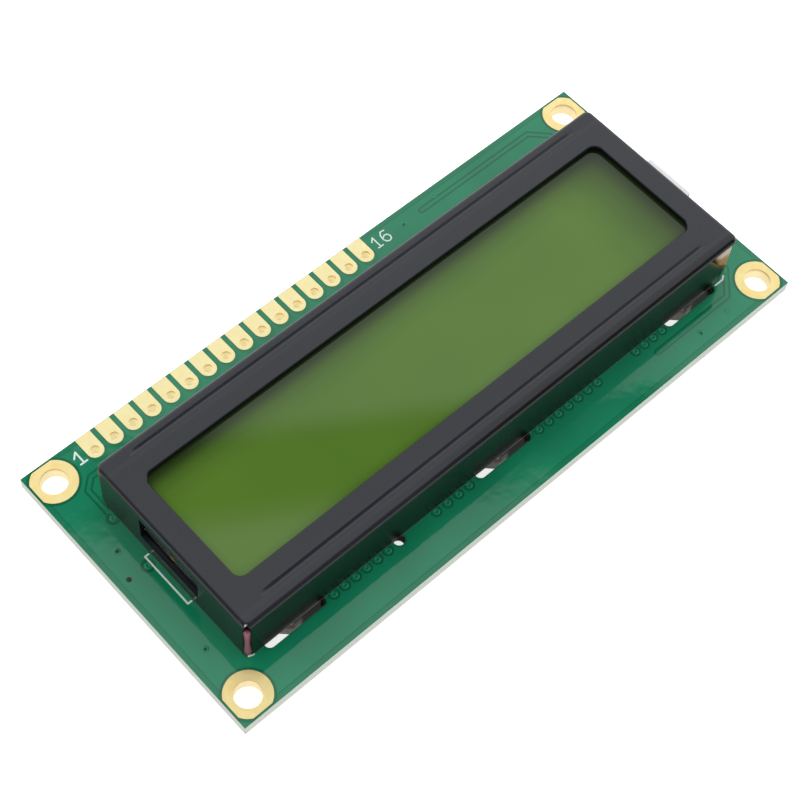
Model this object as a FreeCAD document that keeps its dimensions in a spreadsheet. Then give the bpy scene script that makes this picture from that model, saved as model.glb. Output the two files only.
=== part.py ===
import FreeCAD, Part
import math
import os
import re
import Sketcher

# Character LCD module: a green circuit board carries a liquid crystal cell, an edge-lit backlight
# and two rubber connector strips, all held down by a folded steel bezel whose tabs lock under it.
# Frame: origin at the centre of the four mounting holes on the board's back face, X along the
# board, Y towards the row of sixteen terminals, Z up through the display's face.

SIZES = {
    # board outline and its mounting holes
    "board_length": 80.0,
    "board_width": 36.0,
    "board_thickness": 1.6,
    "mount_inset": 2.5,
    "mount_hole_radius": 1.5,
    "mount_pad_radius": 2.55,
    # plated copper: how far it stands off the board, its barrel wall and its clearance in the hole
    "plating_height": 0.05,
    "plating_wall": 0.05,
    "plating_clearance": 0.03,
    "copper_inset": 0.25,
    # row of terminals along the board's long edge
    "pin_count": 16,
    "pin_pitch": 2.54,
    "first_pin_inset": 8.0,
    "pin_row_inset": 2.25,
    "pin_hole_radius": 0.5,
    "pin_pad_width": 1.93,
    # folded bezel
    "bezel_length": 70.3,
    "bezel_east_extra": 0.3,
    "bezel_width": 23.6,
    "bezel_headroom": 0.15,
    "bezel_centre_y": -0.85,
    "bezel_sheet": 0.5,
    "fold_radius": 0.55,
    "plate_corner_radius": 0.8,
    "corner_relief": 0.6,
    "west_corner_notch": 0.45,
    "frame_west": 2.875,
    "frame_east": 2.675,
    "frame_south": 4.525,
    "frame_north": 4.125,
    "window_corner_radius": 1.1,
    # pressed ribs that bear on the glass above the connector strips
    "window_edge_bevel": 0.1,
    "rib_end_inset": 3.3,
    "rib_top_width": 0.95,
    "rib_shoulder_width": 0.65,
    "rib_shoulder_drop": 0.07,
    "rib_bottom_width": 0.15,
    "rib_wall": 0.3,
    "rib_floor": 0.5,
    "north_rib_inset": 1.1,
    "south_rib_inset": 2.2,
    # openings in the bezel's walls
    "glass_port_length": 9.1,
    "glass_port_shift_y": 0.25,
    "glass_port_drop": 1.45,
    "glass_port_height": 3.85,
    "led_gap_side": 0.4,
    "led_gap_top": 0.5,
    "wall_end_radius": 1.3,
    "end_relief_long": 4.45,
    "end_relief_knee": 2.05,
    "end_relief_knee_height": 3.5,
    "end_relief_tip": 0.85,
    "end_relief_tip_height": 2.6,
    "end_relief_foot": 2.2,
    # tabs that pass through slots in the board and lock behind it
    "tab_count": 3,
    "tab_end_inset": 6.1,
    "tab_shift_x": 0.05,
    "tab_slot_length": 7.86,
    "tab_slot_width": 1.3,
    "tab_slot_clearance": 0.1,
    "tab_neck_start": 0.05,
    "tab_neck_width": 3.45,
    "tab_root_radius": 0.35,
    "tab_reach": 1.5,
    "tab_ear_gap": 0.1,
    "tab_ear_flat": 0.25,
    "tab_ear_heel": 0.8,
    "tab_flap_length": 2.2,
    "tab_flap_angle": 45.0,
    # locating hole at the foot of the bezel's south wall
    "locating_hole_radius": 0.65,
    "locating_hole_x": -15.0,
    "locating_hole_offset": 0.2,
    # backlight, from the board upwards
    "tray_floor": 0.6,
    "tray_wall": 0.5,
    "tray_rim_gap": 0.35,
    "tray_strip_gap": 0.3,
    "tray_west_gap": 0.15,
    "end_block_length": 1.3,
    "end_block_gap": 0.05,
    "end_block_top_gap": 0.2,
    "end_block_corner": 2.3,
    "reflector_thickness": 0.2,
    "guide_thickness": 2.8,
    "guide_clearance": 0.1,
    "diffuser_thickness": 0.3,
    "led_bar_width": 6.3,
    "led_bar_shift_y": 0.1,
    "led_bar_base": 0.5,
    "led_bar_height": 3.9,
    "led_bar_reach": 2.75,
    "led_bar_edge_radius": 0.5,
    "led_bar_clearance": 0.1,
    "lead_radius": 0.25,
    "lead_spacing": 2.54,
    "lead_setback": 1.2,
    "lead_hole_radius": 0.45,
    "solder_radius": 0.95,
    "solder_height": 0.75,
    "solder_tip_radius": 0.4,
    # liquid crystal cell
    "polariser_thickness": 0.2,
    "glass_thickness": 1.1,
    "cell_gap": 0.05,
    "glass_east_gap": 0.2,
    "glass_west_gap": 0.35,
    "glass_side_gap": 0.2,
    "rear_glass_clearance": 0.15,
    "front_polariser_margin": 0.55,
    "seal_width": 1.1,
    "film_margin": 0.3,
    # rubber connector strips
    "strip_width": 1.95,
    "strip_wall_gap": 0.1,
    "strip_edge_radius": 0.3,
    # parts soldered and bonded to the board's back
    "chip_dome_height": 1.25,
    "chip_dome_rim_height": 0.75,
    "chip_dome_rim_slope": 1.1,
    "chip_dome_crown_slope": 3.9,
    "controller_dome_radius": 7.6,
    "controller_dome_x": -15.5,
    "driver_dome_radius": 6.6,
    "driver_dome_x": 14.5,
    "dome_y": -1.2,
    "resistor_length": 2.0,
    "resistor_width": 1.25,
    "resistor_height": 0.5,
    "resistor_pitch": 3.2,
    "resistor_first_x": -8.0,
    "resistor_row_setback": 3.75,
    "resistor_count": 5,
    "oscillator_resistor_x": -28.5,
    "oscillator_resistor_y": 3.0,
    "backlight_resistor_setback": 5.2,
    "backlight_resistor_y": 4.5,
    "backlight_resistor_spacing": 2.4,
}

doc = FreeCAD.newDocument("character_lcd_module")
sheet = doc.addObject("Spreadsheet::Sheet", "sizes")
for row, (name, number) in enumerate(SIZES.items(), start=1):
    sheet.set(f"A{row}", name)
    sheet.set(f"B{row}", str(number))
    sheet.setAlias(f"B{row}", name)
doc.recompute()

sub_parts = []


def formula(text):
    """Turn size names in a formula into references to the sheet."""
    return re.sub(r"[a-z][a-z_]+", lambda word: ("sizes." if word[0] in SIZES else "") + word[0], text)


def bind(thing, **formulas):
    """Tie properties of an object to formulas; a double underscore stands for a dot."""
    for name, text in formulas.items():
        thing.setExpression(name.replace("__", "."), formula(text))


def place(thing, x="0", y="0", z="0"):
    """Tie an object's place to formulas in the module's frame."""
    bind(thing, Placement__Base__x=x, Placement__Base__y=y, Placement__Base__z=z)


def sub_part(thing, label):
    """Note an object as one of the module's pieces, with the name that it is kept under."""
    thing.Label = label
    sub_parts.append(thing)
    return thing


def new_body(label, x="0", y="0", z="0"):
    """An empty body for one piece, placed by formulas."""
    body = doc.addObject("PartDesign::Body", label)
    place(body, x, y, z)
    return sub_part(body, label)


def new_sketch(body, name, plane="XY_Plane", offset="0"):
    """A sketch on one of the body's own origin planes, moved along the plane's normal."""
    sketch = body.newObject("Sketcher::SketchObject", name)
    support = [item for item in body.Origin.OriginFeatures if item.Role == plane][0]
    sketch.AttachmentSupport = [(support, "")]
    sketch.MapMode = "FlatFace"
    bind(sketch, AttachmentOffset__Base__z=offset)
    return sketch


def add_feature(body, kind, profile, **formulas):
    """A pad, pocket or other feature made from a sketch, with its lengths tied to formulas."""
    feature = body.newObject("PartDesign::" + kind, kind + "_" + profile.Name)
    feature.Profile = profile
    if formulas:
        bind(feature, **formulas)
    body.Tip = feature
    return feature


def fix_point(sketch, curve, point, name, x, y):
    """Hold a sketch point at formulas measured from the sketch's origin."""
    for letter, text in (("x", x), ("y", y)):
        kind = "DistanceX" if letter == "x" else "DistanceY"
        sketch.addConstraint(Sketcher.Constraint(kind, -1, 1, curve, point, 0.0))
        index = sketch.ConstraintCount - 1
        sketch.renameConstraint(index, f"{name}_{letter}")
        sketch.setExpression(f"Constraints.{name}_{letter}", formula(text))


def polygon(sketch, name, corners):
    """A closed outline of straight lines whose corners are held at formulas."""
    first = sketch.GeometryCount
    count = len(corners)
    for index in range(count):
        turn = 2 * math.pi * index / count
        following = 2 * math.pi * (index + 1) / count
        start = FreeCAD.Vector(math.cos(turn), math.sin(turn), 0)
        end = FreeCAD.Vector(math.cos(following), math.sin(following), 0)
        sketch.addGeometry(Part.LineSegment(start, end), False)
    for index in range(count):
        following = first + (index + 1) % count
        sketch.addConstraint(Sketcher.Constraint("Coincident", first + index, 2, following, 1))
    for index, (x, y) in enumerate(corners):
        fix_point(sketch, first + index, 1, f"{name}_{index}", x, y)


def rectangle(sketch, name, left, right, bottom, top):
    """A rectangle between four formulas."""
    polygon(sketch, name, [(left, bottom), (right, bottom), (right, top), (left, top)])


def circle(sketch, name, x, y, radius):
    """A circle with its centre and radius tied to formulas."""
    index = sketch.addGeometry(Part.Circle(FreeCAD.Vector(0, 0, 0), FreeCAD.Vector(0, 0, 1), 1.0), False)
    fix_point(sketch, index, 3, name, x, y)
    sketch.addConstraint(Sketcher.Constraint("Radius", index, 1.0))
    sketch.renameConstraint(sketch.ConstraintCount - 1, name + "_radius")
    sketch.setExpression(f"Constraints.{name}_radius", formula(radius))


def octagon(sketch, name, x, y, radius):
    """Eight flats that close on a circle: the light shape of a drilled wall that its plating hides."""
    corners = []
    for index in range(8):
        turn = f"(22.5 + {index} * 45)"
        reach = f"{radius} / cos(22.5)"
        corners.append((f"{x} + {reach} * cos({turn})", f"{y} + {reach} * sin({turn})"))
    polygon(sketch, name, corners)


def new_slab(label, length, width, height, x, y, z):
    """A plain cut sheet or plate, centred on x and y, with its underside at z."""
    slab = doc.addObject("Part::Box", label)
    bind(slab, Length=length, Width=width, Height=height)
    place(slab, f"{x} - ({length}) / 2", f"{y} - ({width}) / 2", z)
    return sub_part(slab, label)


def edges_on(shape, test):
    """Names of the edges whose middle point and direction pass a test."""
    names = []
    for index, edge in enumerate(shape.Edges, start=1):
        if test(edge, edge.BoundBox):
            names.append(f"Edge{index}")
    return names


def is_upright(edge):
    """True for a straight edge that runs along Z."""
    box = edge.BoundBox
    return box.XLength < 1e-6 and box.YLength < 1e-6 and box.ZLength > 1e-6


def round_edges(body, name, test, radius):
    """Round the edges of the body's present shape that pass a test."""
    doc.recompute()
    base = body.Tip
    fillet = body.newObject("PartDesign::Fillet", name)
    fillet.Base = (base, edges_on(base.Shape, test))
    bind(fillet, Radius=radius)
    body.Tip = fillet
    return fillet


def bevel_edges(body, name, test, size):
    """Bevel the edges of the body's present shape that pass a test."""
    doc.recompute()
    base = body.Tip
    chamfer = body.newObject("PartDesign::Chamfer", name)
    chamfer.Base = (base, edges_on(base.Shape, test))
    bind(chamfer, Size=size)
    body.Tip = chamfer
    return chamfer


# Heights above the board's back face, each the underside of what its name says
BOARD_TOP = "board_thickness"
REFLECTOR_BASE = f"{BOARD_TOP} + tray_floor"
GUIDE_BASE = f"{REFLECTOR_BASE} + reflector_thickness"
DIFFUSER_BASE = f"{GUIDE_BASE} + guide_thickness"
REAR_POLARISER_BASE = f"{DIFFUSER_BASE} + diffuser_thickness"
REAR_GLASS_BASE = f"{REAR_POLARISER_BASE} + polariser_thickness"
CRYSTAL_BASE = f"{REAR_GLASS_BASE} + glass_thickness"
FRONT_GLASS_BASE = f"{CRYSTAL_BASE} + cell_gap"
FRONT_POLARISER_BASE = f"{FRONT_GLASS_BASE} + glass_thickness"
# the east wall stands a little further out than the west one
EAST_FACE = "(bezel_length / 2 + bezel_east_extra)"
BEZEL_HEIGHT = f"({FRONT_POLARISER_BASE} + polariser_thickness + bezel_headroom + bezel_sheet - {BOARD_TOP})"

# Inner faces of the bezel's walls and the space that the cell and the backlight share
BEZEL_WEST = "-bezel_length / 2 + bezel_sheet"
BEZEL_EAST = "bezel_length / 2 - bezel_sheet"
BEZEL_SOUTH = "bezel_centre_y - bezel_width / 2 + bezel_sheet"
BEZEL_NORTH = "bezel_centre_y + bezel_width / 2 - bezel_sheet"
END_BLOCK_EAST = f"{BEZEL_EAST} - end_block_gap"
END_BLOCK_WEST = f"{END_BLOCK_EAST} - end_block_length"
CELL_EAST = f"{END_BLOCK_WEST} - glass_east_gap"
CELL_WEST = f"{BEZEL_WEST} + glass_west_gap"
CELL_MIDDLE_X = f"({CELL_EAST} + {CELL_WEST}) / 2"
TRAY_WEST = f"{BEZEL_WEST} + tray_west_gap"
TRAY_HALF_WIDTH = "(bezel_width / 2 - bezel_sheet - strip_wall_gap - strip_width - tray_strip_gap)"
TRAY_RIM_HEIGHT = f"({FRONT_GLASS_BASE} - {BOARD_TOP} - tray_rim_gap)"

# Sides of the bezel's window, measured from the bezel's middle
WINDOW_WEST = "-bezel_length / 2 + frame_west"
WINDOW_EAST = "bezel_length / 2 - frame_east"
WINDOW_SOUTH = "-bezel_width / 2 + frame_south"
WINDOW_NORTH = "bezel_width / 2 - frame_north"

# Places that the terminals, the tabs and the backlight's leads share with the board
MOUNT_X = "(board_length / 2 - mount_inset)"
MOUNT_Y = "(board_width / 2 - mount_inset)"
PIN_ROW_Y = "board_width / 2 - pin_row_inset"
FIRST_PIN_X = "-board_length / 2 + first_pin_inset"
TAB_SLOT_Y = "bezel_width / 2 - bezel_sheet - tab_slot_clearance + tab_slot_width / 2"
LEAD_X = "bezel_length / 2 + led_bar_reach - lead_setback"
LED_BAR_Y = "bezel_centre_y + led_bar_shift_y"


def tab_slot_centres():
    """Formulas for the middle of each slot: three along each long wall of the bezel."""
    centres = []
    for index in range(int(SIZES["tab_count"])):
        x = f"tab_shift_x + ({index} / (tab_count - 1) - 0.5) * (bezel_length - 2 * tab_end_inset)"
        centres.append((x, f"bezel_centre_y - ({TAB_SLOT_Y})"))
        centres.append((x, f"bezel_centre_y + {TAB_SLOT_Y}"))
    return centres


def build_circuit_board():
    """The glass-fibre laminate with every hole and slot that goes through it."""
    body = new_body("circuit_board")
    outline = new_sketch(body, "board_outline")
    rectangle(outline, "edge", "-board_length / 2", "board_length / 2", "-board_width / 2", "board_width / 2")
    add_feature(body, "Pad", outline, Length="board_thickness")

    drilled = new_sketch(body, "board_drilling", offset="board_thickness")
    for east in (-1, 1):
        for north in (-1, 1):
            octagon(drilled, f"mount_{east + 1}{north + 1}", f"{east} * {MOUNT_X}", f"{north} * {MOUNT_Y}",
                    "(mount_hole_radius + plating_wall + plating_clearance)")
    for side in (-1, 1):
        lead_y = f"{LED_BAR_Y} + {side} * lead_spacing / 2"
        octagon(drilled, f"lead_{side + 1}", LEAD_X, lead_y, "lead_hole_radius")
    locator_y = "bezel_centre_y - bezel_width / 2 - locating_hole_offset"
    circle(drilled, "locator", "locating_hole_x", locator_y, "locating_hole_radius")
    add_feature(body, "Pocket", drilled, Length="board_thickness")

    first_pin = new_sketch(body, "first_pin_hole", offset="board_thickness")
    octagon(first_pin, "pin", FIRST_PIN_X, PIN_ROW_Y, "(pin_hole_radius + plating_wall + plating_clearance)")
    first_hole = add_feature(body, "Pocket", first_pin, Length="board_thickness")
    pattern = body.newObject("PartDesign::LinearPattern", "pin_holes")
    pattern.Originals = [first_hole]
    pattern.Direction = (first_pin, ["H_Axis"])
    pattern.Mode = "Spacing"
    bind(pattern, Offset="pin_pitch", Occurrences="pin_count")
    body.Tip = pattern

    milled = new_sketch(body, "slot_runs", offset="board_thickness")
    ends = new_sketch(body, "slot_ends", offset="board_thickness")
    half_run = "(tab_slot_length - tab_slot_width) / 2"
    for index, (x, y) in enumerate(tab_slot_centres()):
        rectangle(milled, f"run_{index}", f"{x} - {half_run}", f"{x} + {half_run}",
                  f"{y} - tab_slot_width / 2", f"{y} + tab_slot_width / 2")
        circle(ends, f"west_end_{index}", f"{x} - {half_run}", y, "tab_slot_width / 2")
        circle(ends, f"east_end_{index}", f"{x} + {half_run}", y, "tab_slot_width / 2")
    add_feature(body, "Pocket", milled, Length="board_thickness")
    add_feature(body, "Pocket", ends, Length="board_thickness")


def build_terminal_pad(index):
    """One gold-plated terminal: a pad on each face that runs to the board's edge, and its barrel.

    The front pad has a round end and the back pad an eight-sided one.
    """
    label = f"terminal_pad_{index + 1:02d}"
    body = new_body(label, f"{FIRST_PIN_X} + {index} * pin_pitch", PIN_ROW_Y)
    for face, base in (("back", "-plating_height"), ("front", "board_thickness")):
        strip = new_sketch(body, f"{label}_{face}_strip", offset=base)
        rectangle(strip, "strip", "-pin_pad_width / 2", "pin_pad_width / 2",
                  "0", "pin_row_inset - copper_inset")
        add_feature(body, "Pad", strip, Length="plating_height")
        end = new_sketch(body, f"{label}_{face}_end", offset=base)
        if face == "front":
            circle(end, "end", "0", "0", "pin_pad_width / 2")
        else:
            octagon(end, "end", "0", "0", "(pin_pad_width / 2)")
        add_feature(body, "Pad", end, Length="plating_height")
        if face == "back":
            core = new_sketch(body, f"{label}_core")
            octagon(core, "core", "0", "0", "(pin_hole_radius + plating_wall)")
            add_feature(body, "Pad", core, Length="board_thickness")
    bore = new_sketch(body, f"{label}_bore", offset="board_thickness + plating_height")
    circle(bore, "bore", "0", "0", "pin_hole_radius")
    add_feature(body, "Pocket", bore, Length="board_thickness + 2 * plating_height")


def build_mounting_pad(label, east, north):
    """One plated mounting hole: a ring on each face, cut back where it would reach the board's edge."""
    body = new_body(label, f"{east} * {MOUNT_X}", f"{north} * {MOUNT_Y}")
    for face, base in (("back", "-plating_height"), ("front", "board_thickness")):
        ring = new_sketch(body, f"{label}_{face}", offset=base)
        circle(ring, "ring", "0", "0", "mount_pad_radius")
        add_feature(body, "Pad", ring, Length="plating_height")
        if face == "back":
            core = new_sketch(body, f"{label}_core")
            octagon(core, "core", "0", "0", "(mount_hole_radius + plating_wall)")
            add_feature(body, "Pad", core, Length="board_thickness")
    far = "mount_pad_radius + 1"
    side = "mount_inset - copper_inset"
    trim = new_sketch(body, f"{label}_trim", offset="board_thickness + plating_height")
    polygon(trim, "trim", [(f"{east} * ({side})", f"-{north} * ({far})"),
                           (f"{east} * ({side})", f"{north} * ({side})"),
                           (f"-{east} * ({far})", f"{north} * ({side})"),
                           (f"-{east} * ({far})", f"{north} * ({far})"),
                           (f"{east} * ({far})", f"{north} * ({far})"),
                           (f"{east} * ({far})", f"-{north} * ({far})")])
    add_feature(body, "Pocket", trim, Length="board_thickness + 2 * plating_height")
    bore = new_sketch(body, f"{label}_bore", offset="board_thickness + plating_height")
    circle(bore, "bore", "0", "0", "mount_hole_radius")
    add_feature(body, "Pocket", bore, Length="board_thickness + 2 * plating_height")


def build_bezel():
    """One sheet of steel, folded down on four sides, with its window, ribs, openings and tabs."""
    body = new_body("bezel", y="bezel_centre_y", z="board_thickness")
    length = SIZES["bezel_length"]
    width = SIZES["bezel_width"]
    sheet_metal = SIZES["bezel_sheet"]

    # outside of the folded sheet: rounded plate corners and one fold radius all round
    outline = new_sketch(body, "bezel_outline")
    rectangle(outline, "edge", "-bezel_length / 2", EAST_FACE, "-bezel_width / 2", "bezel_width / 2")
    add_feature(body, "Pad", outline, Length=BEZEL_HEIGHT)
    round_edges(body, "plate_corners", lambda edge, box: is_upright(edge), "plate_corner_radius")
    doc.recompute()
    height = body.Tip.Shape.BoundBox.ZMax
    round_edges(body, "folds", lambda edge, box: box.ZMin > height - 1e-6, "fold_radius")

    # inside of the sheet
    inside = new_sketch(body, "bezel_inside")
    rectangle(inside, "face", "-bezel_length / 2 + bezel_sheet", f"{EAST_FACE} - bezel_sheet",
              "-bezel_width / 2 + bezel_sheet", "bezel_width / 2 - bezel_sheet")
    cavity = add_feature(body, "Pocket", inside, Length=f"{BEZEL_HEIGHT} - bezel_sheet")
    cavity.Reversed = True

    # window, with rounded corners and the slight bevel that punching leaves
    window = new_sketch(body, "window", offset=BEZEL_HEIGHT)
    rectangle(window, "edge", WINDOW_WEST, WINDOW_EAST, WINDOW_SOUTH, WINDOW_NORTH)
    add_feature(body, "Pocket", window, Length="2 * bezel_sheet")

    def in_window(box):
        """True for edges that lie well inside the four walls."""
        reach = max(-box.XMin, box.XMax) - length / 2, max(-box.YMin, box.YMax) - width / 2
        return max(reach) < -2 * sheet_metal

    round_edges(body, "window_corners", lambda edge, box: is_upright(edge) and in_window(box),
                "window_corner_radius")
    bevel_edges(body, "window_edge", lambda edge, box: box.ZMin > height - 1e-6 and in_window(box),
                "window_edge_bevel")

    # two pressed ribs: a ridge that reaches the glass, and the groove that shows above it
    ridge_base = f"{FRONT_POLARISER_BASE} - board_thickness"
    ridges = new_sketch(body, "rib_ridges", "YZ_Plane")
    grooves = new_sketch(body, "rib_grooves", "YZ_Plane")
    rows = (("north", "bezel_width / 2 - north_rib_inset"), ("south", "-bezel_width / 2 + south_rib_inset"))
    for name, y in rows:
        polygon(ridges, name, [(f"{y} - rib_top_width / 2 - rib_wall", f"{BEZEL_HEIGHT} - bezel_sheet"),
                               (f"{y} - rib_bottom_width / 2 - rib_wall", ridge_base),
                               (f"{y} + rib_bottom_width / 2 + rib_wall", ridge_base),
                               (f"{y} + rib_top_width / 2 + rib_wall", f"{BEZEL_HEIGHT} - bezel_sheet")])
        polygon(grooves, name, [(f"{y} - rib_top_width / 2", BEZEL_HEIGHT),
                                (f"{y} - rib_shoulder_width / 2", f"{BEZEL_HEIGHT} - rib_shoulder_drop"),
                                (f"{y} - rib_bottom_width / 2", f"{ridge_base} + rib_floor"),
                                (f"{y} + rib_bottom_width / 2", f"{ridge_base} + rib_floor"),
                                (f"{y} + rib_shoulder_width / 2", f"{BEZEL_HEIGHT} - rib_shoulder_drop"),
                                (f"{y} + rib_top_width / 2", BEZEL_HEIGHT)])
    ridge = add_feature(body, "Pad", ridges, Length="bezel_length - 2 * rib_end_inset + 2 * rib_wall")
    ridge.SideType = "Symmetric"
    groove = add_feature(body, "Pocket", grooves, Length="bezel_length - 2 * rib_end_inset")
    groove.SideType = "Symmetric"

    # relief at each corner, where two folded walls would meet
    reliefs = new_sketch(body, "corner_reliefs")
    for east in (-1, 1):
        for north in (-1, 1):
            end = EAST_FACE if east > 0 else "bezel_length / 2"
            near_x = f"{east} * ({end} - corner_relief)"
            near_y = f"{north} * (bezel_width / 2 - corner_relief)"
            far_x = f"{east} * (bezel_length / 2 + 1)"
            far_y = f"{north} * (bezel_width / 2 + 1)"
            rectangle(reliefs, f"corner_{east + 1}{north + 1}", near_x, far_x, near_y, far_y)
    relief = add_feature(body, "Pocket", reliefs, Length=f"{BEZEL_HEIGHT} - fold_radius")
    relief.Reversed = True
    notches = new_sketch(body, "west_corner_notches", offset=BEZEL_HEIGHT)
    for north in (-1, 1):
        rectangle(notches, f"notch_{north + 1}",
                  "-bezel_length / 2 - 1", "-bezel_length / 2 + west_corner_notch",
                  f"{north} * (bezel_width / 2 - west_corner_notch)", f"{north} * (bezel_width / 2 + 1)")
    add_feature(body, "Pocket", notches, Length="2 * bezel_sheet + fold_radius")

    # east wall: the gap that the backlight's lamp end sticks out through
    lamp_gap = new_sketch(body, "lamp_gap", "YZ_Plane", EAST_FACE)
    half_gap = "(led_bar_width / 2 + led_gap_side)"
    rectangle(lamp_gap, "gap", f"led_bar_shift_y - {half_gap}", f"led_bar_shift_y + {half_gap}",
              "0", "led_bar_base + led_bar_height + led_gap_top")
    add_feature(body, "Pocket", lamp_gap, Length="2 * bezel_sheet")

    # west wall: the port below the fold, which leaves room for the plug of the cell's filling hole
    port = new_sketch(body, "glass_port", "YZ_Plane", "-bezel_length / 2 + bezel_sheet")
    rectangle(port, "port",
              "glass_port_shift_y - glass_port_length / 2", "glass_port_shift_y + glass_port_length / 2",
              f"{BEZEL_HEIGHT} - glass_port_drop - glass_port_height", f"{BEZEL_HEIGHT} - glass_port_drop")
    add_feature(body, "Pocket", port, Length="bezel_sheet")
    wall_end = SIZES["bezel_width"] / 2 - SIZES["corner_relief"]
    round_edges(body, "wall_end", lambda edge, box: box.YLength < 1e-6 and box.ZMax < 1e-6
                and abs(box.YMax - wall_end) < 1e-3 and box.XMax < -length / 2 + 1, "wall_end_radius")

    # south wall: its east end is cut to a tongue that leaves the backlight's corner in view
    end_relief = new_sketch(body, "end_relief", "XZ_Plane", "bezel_width / 2")
    polygon(end_relief, "cut", [(f"{EAST_FACE} - end_relief_long", f"{BEZEL_HEIGHT} - fold_radius"),
                                (f"{EAST_FACE} - end_relief_knee", "end_relief_knee_height"),
                                (f"{EAST_FACE} - end_relief_tip", "end_relief_tip_height"),
                                (f"{EAST_FACE} - end_relief_foot", "0"),
                                ("bezel_length / 2 + 1", "0"),
                                ("bezel_length / 2 + 1", f"{BEZEL_HEIGHT} - fold_radius")])
    add_feature(body, "Pocket", end_relief, Length="bezel_sheet")

    # tabs: a neck through each slot, and an ear behind the board with its flap bent inwards
    necks = new_sketch(body, "tab_necks", offset="-board_thickness - tab_reach")
    ears = new_sketch(body, "tab_ears", offset="-board_thickness - tab_reach")
    turn_x = "cos(tab_flap_angle)"
    turn_y = "sin(tab_flap_angle)"
    for index, (slot_x, _) in enumerate(tab_slot_centres()):
        side = -1 if index % 2 == 0 else 1
        face = f"{side} * bezel_width / 2"
        back = f"{side} * (bezel_width / 2 - bezel_sheet)"
        start = f"({slot_x} + tab_neck_start)"
        bend = f"({start} - tab_ear_flat)"
        rectangle(necks, f"neck_{index}", start, f"{start} + tab_neck_width", face, back)
        polygon(ears, f"ear_{index}", [
            (f"{start} + tab_neck_width + tab_ear_heel", face),
            (bend, face),
            (f"{bend} - tab_flap_length * {turn_x}", f"{face} - {side} * tab_flap_length * {turn_y}"),
            (f"{bend} - tab_flap_length * {turn_x} + bezel_sheet * {turn_y}",
             f"{face} - {side} * (tab_flap_length * {turn_y} + bezel_sheet * {turn_x})"),
            (f"{bend} + bezel_sheet * tan(tab_flap_angle / 2)", back),
            (f"{start} + tab_neck_width + tab_ear_heel", back)])
    add_feature(body, "Pad", necks, Length="board_thickness + tab_reach")
    add_feature(body, "Pad", ears, Length="tab_reach - tab_ear_gap")
    doc.recompute()
    neck_sides = sorted({round(line.StartPoint.x, 4) for line in necks.Geometry})
    neck_starts = neck_sides[0::2]

    def is_tab_root(edge, box):
        """True for the inner corner where a neck's west side leaves the bottom of its wall."""
        flat = box.XLength < 1e-6 and box.ZLength < 1e-6 and abs(box.ZMax) < 1e-6
        return flat and round(box.XMax, 4) in neck_starts

    round_edges(body, "tab_roots", is_tab_root, "tab_root_radius")


def build_backlight_tray():
    """White moulded tray with a raised end block that holds the lamp bar and fills the bezel's end."""
    body = new_body("backlight_tray", z=BOARD_TOP)
    half = TRAY_HALF_WIDTH
    outline = new_sketch(body, "tray_outline")
    rectangle(outline, "edge", TRAY_WEST, f"{END_BLOCK_WEST} + end_block_length / 2",
              f"bezel_centre_y - {half}", f"bezel_centre_y + {half}")
    add_feature(body, "Pad", outline, Length=TRAY_RIM_HEIGHT)
    pocket = new_sketch(body, "tray_pocket", offset=TRAY_RIM_HEIGHT)
    rectangle(pocket, "edge", f"{TRAY_WEST} + tray_wall", END_BLOCK_WEST,
              f"bezel_centre_y - {half} + tray_wall", f"bezel_centre_y + {half} - tray_wall")
    add_feature(body, "Pocket", pocket, Length=f"{TRAY_RIM_HEIGHT} - tray_floor")

    block = new_sketch(body, "end_block", "YZ_Plane", END_BLOCK_WEST)
    south = f"{BEZEL_SOUTH} + end_block_gap"
    north = f"{BEZEL_NORTH} - end_block_gap"
    top = f"{BEZEL_HEIGHT} - bezel_sheet - end_block_top_gap"
    polygon(block, "block", [(f"{south} + end_block_corner", "0"),
                             (f"{north} - end_block_corner", "0"),
                             (north, "end_block_corner"),
                             (north, top),
                             (south, top),
                             (south, "end_block_corner")])
    add_feature(body, "Pad", block, Length="end_block_length")
    lamp = new_sketch(body, "lamp_seat", "YZ_Plane", END_BLOCK_EAST)
    reach = "(led_bar_width / 2 + led_bar_clearance)"
    rectangle(lamp, "seat", f"{LED_BAR_Y} - {reach}", f"{LED_BAR_Y} + {reach}",
              "led_bar_base", "led_bar_base + led_bar_height + led_bar_clearance")
    add_feature(body, "Pocket", lamp, Length="end_block_length")


def build_led_bar():
    """Clear lamp bar: it lights the guide's end and sticks out past the bezel's east wall."""
    body = new_body("led_bar", y=LED_BAR_Y, z=f"{BOARD_TOP} + led_bar_base")
    outline = new_sketch(body, "bar_outline")
    east = "bezel_length / 2 + led_bar_reach"
    rectangle(outline, "edge", END_BLOCK_WEST, east, "-led_bar_width / 2", "led_bar_width / 2")
    add_feature(body, "Pad", outline, Length="led_bar_height")
    nose = SIZES["bezel_length"] / 2
    round_edges(body, "bar_nose", lambda edge, box: box.XMin > nose and (is_upright(edge) or box.ZMin > 1e-6),
                "led_bar_edge_radius")


def build_leads():
    """The lamp bar's two wires, and the cone of solder that closes on each one's end behind the board."""
    for name, side in (("cathode", -1), ("anode", 1)):
        y = f"{LED_BAR_Y} + {side} * lead_spacing / 2"
        lead = doc.addObject("Part::Cylinder", f"lead_{name}")
        bind(lead, Radius="lead_radius", Height=f"{BOARD_TOP} + led_bar_base")
        place(lead, LEAD_X, y)
        sub_part(lead, f"lamp_lead_{name}")
        joint = doc.addObject("Part::Cone", f"solder_{name}")
        bind(joint, Radius1="solder_tip_radius", Radius2="solder_radius", Height="solder_height")
        place(joint, LEAD_X, y, "-solder_height")
        sub_part(joint, f"lamp_solder_{name}")


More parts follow.
